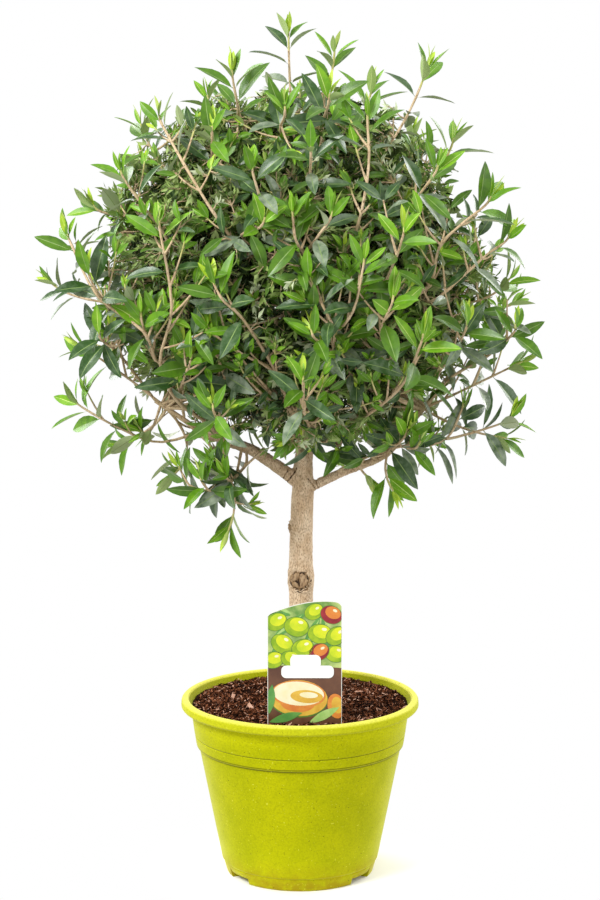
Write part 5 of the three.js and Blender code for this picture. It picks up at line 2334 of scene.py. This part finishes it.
@dataclass
class Card:
    """The plant card on its stake: plain fruit and leaf shapes round a blank name panel."""

    width: float = 73.0
    thickness: float = 0.8
    foot: float = 174.7
    left_shoulder: float = 288.0
    right_shoulder: float = 297.0
    peak: float = 301.0
    corner: float = 7.0
    centre_x: float = 4.6
    centre_y: float = -87.0
    lean: float = -2.0
    stake_width: float = 18.0
    stake_depth: float = 60.0
    stake_taper: float = 16.0
    layer: float = 0.035

    def _place(self, flat: Array, out: float) -> Array:
        """Gives places on the card's plane, drawn in its width and height, stood out from it.

        Args:
            flat: Places across and up.
            out: How far they stand out.

        Returns:
            The places in space.
        """
        turn = radians(self.lean)
        rise = flat[:, 1] - self.foot
        x = flat[:, 0] + self.centre_x
        y = self.centre_y - out * cos(turn) - rise * sin(turn)
        z = self.foot + rise * cos(turn) - out * sin(turn)
        return np.column_stack([x, y, z])

    def top_edge(self) -> Array:
        """Returns the arched top from the right side round both shoulders to the left side."""
        half, corner = self.width / 2, self.corner
        right = (half, self.right_shoulder - corner), (half, self.right_shoulder), (
            half - corner, self.right_shoulder + 1)
        arch = right[2], (corner / 2, self.peak), (corner - half, self.left_shoulder)
        left = arch[2], (-half, self.left_shoulder - 2), (-half, self.left_shoulder - corner)
        first, *others = (bent_line(*map(np.array, part), 13) for part in (right, arch, left))
        return np.vstack([first, *(line[1:] for line in others)])

    def _ceiling(self, across: Array) -> Array:
        """Returns the height of the card's top edge at places across it."""
        edge = self.top_edge()[::-1]
        return np.interp(across, edge[:, 0], edge[:, 1])

    def _plate(self, faces: Faces) -> None:
        """Adds the card itself with its stake.

        Args:
            faces: The card's faces, added to.
        """
        half, stake = self.width / 2, self.stake_width / 2
        tip = self.foot - self.stake_depth
        right = [(1, tip), (stake, tip + self.stake_taper), (stake, self.foot), (half, self.foot)]
        lower = [(-x, z) for x, z in reversed(right)] + right
        outline = np.vstack([lower, self.top_edge()])
        shape = bmesh.new()
        front = [shape.verts.new(place) for place in self._place(outline, self.thickness / 2)]
        back = [shape.verts.new(place) for place in self._place(outline, -self.thickness / 2)]
        shape.faces.new(front)
        shape.faces.new(back[::-1])
        for i in range(len(front)):
            after = (i + 1) % len(front)
            shape.faces.new((front[after], front[i], back[i], back[after]))
        bmesh.ops.triangulate(shape, faces=shape.faces[:])
        shape.verts.index_update()
        points = np.array([vert.co[:] for vert in shape.verts])
        triangles = np.array([[vert.index for vert in face.verts] for face in shape.faces])
        shape.free()
        faces.add(points, triangles, Ink.STOCK.value)

    def _patch(self, faces: Faces, outline: Array, ink: Ink, level: int) -> None:
        """Adds a flat printed shape, cut off at the card's edges.

        Args:
            faces: The card's faces, added to.
            outline: The shape.
            ink: Its colour.
            level: How many layers up it lies.
        """
        half = self.width / 2 - 0.6
        outline = outline.copy()
        outline[:, 0] = np.clip(outline[:, 0], -half, half)
        outline[:, 1] = np.clip(outline[:, 1], self.foot + 0.4, self._ceiling(outline[:, 0]) - 0.6)
        middle = outline.mean(axis=0)
        points = self._place(np.vstack([outline, middle]), self.thickness / 2 + self.layer * level)
        triangles = np.roll(fan(0, len(outline), len(outline), True), -1, axis=1)
        faces.add(points, triangles, ink.value)

    @staticmethod
    def oval(x: float, z: float, wide: float, tall: float, lean: float = 0.0) -> Array:
        """Returns the outline of an oval."""
        turn = full_turn(30)
        return leant(x, z, np.cos(turn) * wide / 2, np.sin(turn) * tall / 2, lean)

    @staticmethod
    def slip(x: float, z: float, length: float, wide: float, lean: float) -> Array:
        """Gives the outline of a slender leaf from its root.

        Args:
            x: The root's place across.
            z: Its height.
            length: How long the leaf is.
            wide: How wide.
            lean: How far it leans from level.

        Returns:
            The outline.
        """
        share = np.linspace(0, 1, 12)
        edge = np.sin(share * pi) ** 0.9 * wide / 2
        along = np.concatenate([share, share[::-1][1:-1]]) * length
        aside = np.concatenate([edge, -edge[::-1][1:-1]])
        return leant(x, z, along, aside, lean)

    @staticmethod
    def tablet(x: float, z: float, wide: float, tall: float, corner: float) -> Array:
        """Gives the outline of a rectangle with round corners.

        Args:
            x: The middle's place across.
            z: Its height.
            wide: The rectangle's width.
            tall: Its height.
            corner: Its corners' radius.

        Returns:
            The outline.
        """
        parts = []
        for quarter, (sx, sz) in enumerate(((1, 1), (-1, 1), (-1, -1), (1, -1))):
            turn = np.radians(np.linspace(90 * quarter, 90 * quarter + 90, 7))
            parts.append(np.column_stack([x + sx * (wide / 2 - corner) + corner * np.cos(turn),
                                          z + sz * (tall / 2 - corner) + corner * np.sin(turn)]))
        return np.vstack(parts)

    def _fruit(self, faces: Faces, x: float, z: float, size: float, lean: float, ripe: bool,
               level: int) -> None:
        """Adds a fruit: its shaded skin, its lit side and its highlight.

        Args:
            faces: The card's faces, added to.
            x: The fruit's place across.
            z: Its height.
            size: Its size.
            lean: How far it leans.
            ripe: Whether it is red.
            level: The layer it starts at.
        """
        skin, lit = (Ink.RED, Ink.ORANGE) if ripe else (Ink.LIME, Ink.YELLOW)
        for order, (right, up, wide, tall, rim, ink) in enumerate((
                (0, 0, 1.26, 1, 1, Ink.SHADE), (0, 0, 1.26, 1, 0, skin), (0.1, 0.12, 0.92, 0.7, 0, lit),
                (0.22, 0.24, 0.26, 0.16, 0, Ink.CREAM))):
            spot = self.oval(x + size * right, z + size * up, size * wide + rim, size * tall + rim, lean)
            self._patch(faces, spot, ink, level + order)

    def build(self, inks: Materials) -> list[Piece]:
        """Makes the card and its print.

        Args:
            inks: The materials by the numbers of Ink.

        Returns:
            The one piece.
        """
        faces = Faces()
        self._plate(faces)
        half = self.width / 2
        field_top = np.vstack([[(-half, 232), (half, 232)], self.top_edge()])
        self._patch(faces, field_top, Ink.PALE, 1)
        ground = np.array([(-half, 174), (half, 174), (half, 232), (0, 235), (-half, 234)])
        self._patch(faces, ground, Ink.BROWN, 2)
        for x, z, length, lean in ((-31, 262, 40, 38), (-2, 246, 42, 66), (30, 240, 44, 108),
                                   (-34, 236, 30, 62),
                                   (14, 282, 26, 12), (-14, 284, 24, 152)):
            self._patch(faces, self.slip(x, z, length, 9, lean), Ink.LEAF, 3)
            self._patch(faces, self.slip(x + 1.5, z + 1.5, length * 0.86, 3.4, lean), Ink.LIGHT_LEAF, 4)
        fruit = ((-28, 278, 17, 20, False), (-8, 273, 19, -12, False), (9, 288, 15, 30, False),
                 (26, 285, 17, -24, True), (-22, 256, 18, -30, False), (-2, 252, 17, 18, False),
                 (15, 266, 19, -8, False), (31, 264, 17, 34, False), (-31, 240, 16, 10, False),
                 (14, 248, 16, 26, True), (30, 246, 16, -14, False), (-14, 241, 15, -20, False))
        for order, (x, z, size, lean, ripe) in enumerate(fruit):
            self._fruit(faces, x, z, size, lean, ripe, 5 + order % 2 * 4)
        self._lower_half(faces)
        self._patch(faces, self.tablet(2.8, 228.3, 51.5, 12.5, 4.8), Ink.WHITE, 15)
        self._patch(faces, self.tablet(0.8, 238.2, 30, 14, 5.2), Ink.WHITE, 16)
        return [seat(faces.to_object("plant_card", inks, smooth=False), "card_face", "label_card")]

    def _lower_half(self, faces: Faces) -> None:
        """Adds a golden dish, a half fruit and three leaves on the brown ground.

        Args:
            faces: The card's faces, added to.
        """
        for level, (x, z, wide, tall, ink) in enumerate((
                (-6, 201, 58, 37, Ink.SHADE), (-6, 202, 57, 36, Ink.GOLD), (-7, 197, 34, 18, Ink.ORANGE),
                (-6, 206, 53, 27, Ink.ORANGE), (-6, 206.5, 50, 24, Ink.CREAM), (2, 203.5, 32, 13, Ink.GOLD),
                (4, 205, 18, 6, Ink.CREAM))):
            self._patch(faces, self.oval(x, z, wide, tall, -4), ink, 3 + level)
        self._patch(faces, self.oval(31, 194, 17, 25, 12), Ink.ORANGE, 11)
        self._patch(faces, self.oval(32, 195, 11, 17, 12), Ink.GOLD, 12)
        for x, z, length, lean, ink in ((-35, 178, 34, 16, Ink.LEAF), (4, 177, 34, 28, Ink.LIGHT_LEAF),
                                        (-35, 186, 30, 84, Ink.LEAF)):
            self._patch(faces, self.slip(x, z, length, 8.5, lean), ink, 13)


# ---- Studio --------


@dataclass(frozen=True)
class FloorFinish(Finish):
    """A pale floor that fades to nothing between two distances from its middle."""

    ground: Colour
    fade_from: float
    fade_to: float

    def dress(self, graph: Graph, groups: SharedGroups) -> None:
        """Builds the material's nodes.

        Args:
            graph: The material's empty graph.
            groups: The shared shader groups; not used.
        """
        fade = graph.ramp(graph.length(graph.place()), self.fade_from, self.fade_to)
        plain = graph.add("BsdfPrincipled", Roughness=0.9, Base_Color=self.ground)
        graph.add("OutputMaterial", Surface=graph.mix_shaders(fade, plain, graph.add("BsdfTransparent")))


@dataclass(frozen=True)
class Light:
    """A soft square light: where it hangs and aims, its width, all in metres, and its watts."""

    name: str
    place: Place
    aim: Place
    size: float
    watts: float

    def hang(self) -> None:
        """Puts the light into the scene."""
        lamp = bpy.data.lights.new(self.name, "AREA")
        lamp.energy = self.watts
        lamp.size = self.size
        holder = placed(self.name, lamp)
        holder.location = self.place
        way = Vector(self.aim) - Vector(self.place)
        holder.rotation_euler = way.to_track_quat("-Z", "Y").to_euler()


@dataclass
class Studio:
    """A plain pale floor, a soft white room and the camera."""

    camera_back: float = 2280.0
    camera_height: float = 780.0
    camera_dip: float = 8.6
    lens: float = 91.9
    sensor: float = 36.0
    floor_radius: float = 600.0
    lights: tuple[Light, ...] = (
        Light("key", (-1.7, -1.7, 2.3), (0, 0, 0.45), 1.1, 88),
        Light("side", (2.2, -1.2, 1.2), (0, 0, 0.5), 1.5, 18),
        Light("back_left", (-1.9, 1.7, 1.7), (0, 0, 0.6), 1.5, 42),
        Light("back_right", (2.0, 1.5, 1.7), (0, 0, 0.6), 1.5, 52))
    room_seen: Colour = (1.0, 1.0, 1.0)
    room_lit: Colour = (1.0, 0.99, 0.965)
    room_light: float = 0.78

    def build(self, floor: Material) -> None:
        """Sets up the floor, the lights, the room and the camera.

        Args:
            floor: The floor's material.
        """
        bpy.context.scene.view_settings.view_transform = "Standard"
        profile = [(self.floor_radius, 0.0), (self.floor_radius * 0.5, 0.0), (0, 0.0)]
        Faces().add(*lathe(profile, full_turn(96))).to_object("floor", [floor], smooth=False)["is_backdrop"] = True
        for light in self.lights:
            light.hang()
        self._room()
        self._camera()

    def _room(self) -> None:
        """Makes the room white to look at and softer to be lit by."""
        world = bpy.data.worlds.new("room")
        bpy.context.scene.world = world
        world.use_nodes = True
        graph = Graph(world.node_tree)
        seen = graph.add("Background", Strength=1.0, Color=self.room_seen)
        lit = graph.add("Background", Strength=self.room_light, Color=self.room_lit)
        both = graph.mix_shaders(graph.add("LightPath").outputs["Is Camera Ray"], lit, seen)
        graph.add("OutputWorld", Surface=both)

    def _camera(self) -> None:
        """Places the camera at eye level with the crown, tipped down a little."""
        lens = bpy.data.cameras.new("camera")
        lens.lens = self.lens
        lens.sensor_width = self.sensor
        holder = placed("camera", lens)
        holder.location = (0.0, -self.camera_back * MM, self.camera_height * MM)
        holder.rotation_euler = (radians(90 - self.camera_dip), 0.0, 0.0)
        bpy.context.scene.camera = holder


# ---- Finishes --------


# Each finish's third colour is the paler underside, raised further as painted light.
LEAF_FINISHES = (
    LeafFinish("leaf_bud", (0.44, 0.6, 0.04), (0.34, 0.52, 0.03), (0.46, 0.58, 0.14), 0.45, 0.05),
    LeafFinish("leaf_young", (0.19, 0.4, 0.014), (0.13, 0.31, 0.012), (0.34, 0.48, 0.14), 0.42, 0.1),
    LeafFinish("leaf_fresh", (0.135, 0.31, 0.011), (0.085, 0.22, 0.009), (0.4, 0.53, 0.2), 0.4, 0.12),
    LeafFinish("leaf_green", (0.085, 0.2, 0.009), (0.055, 0.14, 0.008), (0.48, 0.6, 0.3), 0.34, 0.25),
    # leaf_dark and leaf_blue: the second colour, pale, is a painted sheen in patches.
    LeafFinish("leaf_dark", (0.026, 0.08, 0.012), (0.15, 0.22, 0.12), (0.52, 0.6, 0.38), 0.28, 0.4,
               120.0, 0.42, 0.4),
    LeafFinish("leaf_blue", (0.06, 0.115, 0.05), (0.34, 0.4, 0.29), (0.55, 0.62, 0.42), 0.28, 0.4,
               110.0, 0.34, 0.4),
    LeafFinish("rib_young", (0.58, 0.7, 0.2), (0.5, 0.66, 0.18), (0.55, 0.64, 0.26), 0.5, 0.0),
    LeafFinish("rib_pale", (0.26, 0.37, 0.12), (0.2, 0.3, 0.1), (0.36, 0.43, 0.2), 0.46, 0.0),
)
SMALL_LEAF_FINISHES = (
    # fine_dark is darkened as painted shade deep inside the crown; fine_green and fine_pale are paler at the rim
    # as painted light.
    LeafFinish("fine_dark", (0.017, 0.038, 0.004), (0.01, 0.024, 0.003), (0.07, 0.11, 0.025), 0.5, 0.0),
    LeafFinish("fine_green", (0.09, 0.18, 0.012), (0.055, 0.12, 0.009), (0.17, 0.26, 0.055), 0.5, 0.0),
    LeafFinish("fine_pale", (0.29, 0.4, 0.11), (0.21, 0.31, 0.07), (0.34, 0.44, 0.16), 0.5, 0.0),
    # The palest fine tone stands for glints: painted highlights among the fine leaves.
    LeafFinish("fine_painted_highlight", (0.55, 0.62, 0.4), (0.42, 0.5, 0.28), (0.5, 0.56, 0.36), 0.5, 0.0),
)
WOOD_FINISHES = (
    BarkFinish("bark", (0.63, 0.45, 0.285), (0.84, 0.67, 0.48), (0.27, 0.165, 0.09), 980.0, 0.44, 0.74,
               70.0, 0.7, 0.35),
    BarkFinish("scar_rim", (0.36, 0.23, 0.125), (0.5, 0.355, 0.22), (0.2, 0.125, 0.07), 520.0, 0.5, 0.68),
    # The crack finish's dark colour is painted shade in the cracks and creases.
    BarkFinish("scar_crack_shade", (0.2, 0.115, 0.055), (0.42, 0.28, 0.15), (0.035, 0.02, 0.012), 300.0, 0.46,
               0.6, 200.0),
)
TWIG_FINISHES = (
    # The twig wood is the bark's colours made darker, as painted shade inside the crown.
    BarkFinish("twig_wood", (0.52, 0.385, 0.225), (0.68, 0.53, 0.35), (0.28, 0.185, 0.1), 600.0, 0.56, 0.7),
    BarkFinish("twig_green", (0.5, 0.48, 0.17), (0.58, 0.54, 0.24), (0.34, 0.3, 0.13), 600.0, 0.62, 0.75,
               90.0, 0.3),
)
# The pot's lip and top edge colours are painted highlights, the band's is painted light under the lip, the inner
# wall's is painted shade, the seam colour is painted shadow and dirt, and the worn foot is darkened as painted
# shade.
POT_PLASTIC = PlasticFinish(
    "pot_lime", ground=(0.485, 0.495, 0.001), cloud=(0.4, 0.425, 0.0005), speck=(0.13, 0.13, 0.002),
    worn_and_shade=(0.33, 0.26, 0.005), flake=(0.66, 0.66, 0.06), lip=(0.51, 0.525, 0.01), edge=(0.72, 0.7, 0.1),
    inner=(0.32, 0.34, 0.002), shadow_and_dirt_seam=(0.15, 0.15, 0.002), painted_light_band=(0.59, 0.605, 0.002))
# The bed is nearly black: dark soil, darkened further as painted shade in the gaps between the chips.
SOIL_BED = SoilFinish("soil_bed", (0.011, 0.003, 0.001), (0.03, 0.009, 0.003))
CHIP_FINISHES = (
    SoilFinish("chip_brown", (0.13, 0.042, 0.017), (0.065, 0.02, 0.007)),
    SoilFinish("chip_dark", (0.018, 0.005, 0.002), (0.009, 0.0025, 0.001)),
    SoilFinish("chip_red", (0.28, 0.11, 0.055), (0.17, 0.06, 0.028)),
    SoilFinish("chip_pale", (0.62, 0.39, 0.29), (0.45, 0.24, 0.16)),
)
INK_FINISHES = (
    PrintFinish("card_stock", (0.78, 0.77, 0.72), (0.74, 0.74, 0.69)),
    PrintFinish("ink_pale", (0.5, 0.6, 0.2), (0.12, 0.26, 0.05), 46.0),
    PrintFinish("ink_leaf", (0.07, 0.24, 0.05), (0.13, 0.34, 0.07)),
    PrintFinish("ink_light_leaf", (0.28, 0.5, 0.12), (0.42, 0.6, 0.2)),
    PrintFinish("ink_lime", (0.17, 0.33, 0.008), (0.36, 0.5, 0.012), 90.0),
    PrintFinish("ink_yellow", (0.66, 0.7, 0.015), (0.44, 0.58, 0.012), 70.0),
    PrintFinish("ink_shade", (0.06, 0.16, 0.03), (0.1, 0.2, 0.03)),
    PrintFinish("ink_red", (0.34, 0.025, 0.035), (0.2, 0.012, 0.02), 90.0),
    PrintFinish("ink_orange", (0.68, 0.25, 0.04), (0.6, 0.17, 0.03)),
    PrintFinish("ink_brown", (0.09, 0.035, 0.02), (0.16, 0.07, 0.035), 40.0),
    PrintFinish("ink_gold", (0.6, 0.33, 0.03), (0.72, 0.46, 0.06)),
    PrintFinish("ink_cream", (0.8, 0.72, 0.42), (0.84, 0.79, 0.58), 60.0),
    PrintFinish("ink_white", (0.86, 0.87, 0.85), (0.83, 0.85, 0.83)),
)
FLOOR = FloorFinish("floor_white", (0.93, 0.93, 0.925), 0.08, 0.165)


def report(stage: str, pieces: Sequence[Piece]) -> None:
    """Logs each piece and its number of triangles.

    Args:
        stage: What the pieces belong to.
        pieces: The pieces.
    """
    for piece in pieces:
        count = sum(len(face.vertices) - 2 for face in piece.data.polygons)
        LOG.info("%s: %s, %d triangles", stage, piece.name, count)


def main() -> None:
    """Builds the plant round its solids."""
    logging.basicConfig(level=logging.INFO, format="%(message)s")
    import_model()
    cad_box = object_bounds()
    groups = SharedGroups()

    def skins(finishes: Iterable[Finish]) -> list[Material]:
        """Returns the materials of finishes."""
        return [finish.material(groups) for finish in finishes]

    plan = Plan()
    Studio().build(FLOOR.material(groups))
    report("pot", Pot().build(POT_PLASTIC.material(groups)))
    report("soil", Soil().build(SOIL_BED.material(groups), skins(CHIP_FINISHES)))
    report("card", Card().build(skins(INK_FINISHES)))
    report("wood", Woodwork(plan).build(skins(WOOD_FINISHES)))
    crown = Crown(plan)
    crown.grow()
    foliage = Foliage(crown, cad_box)
    report("foliage", foliage.build(skins(LEAF_FINISHES), skins(SMALL_LEAF_FINISHES), skins(TWIG_FINISHES)))


if __name__ == "__main__":
    main()
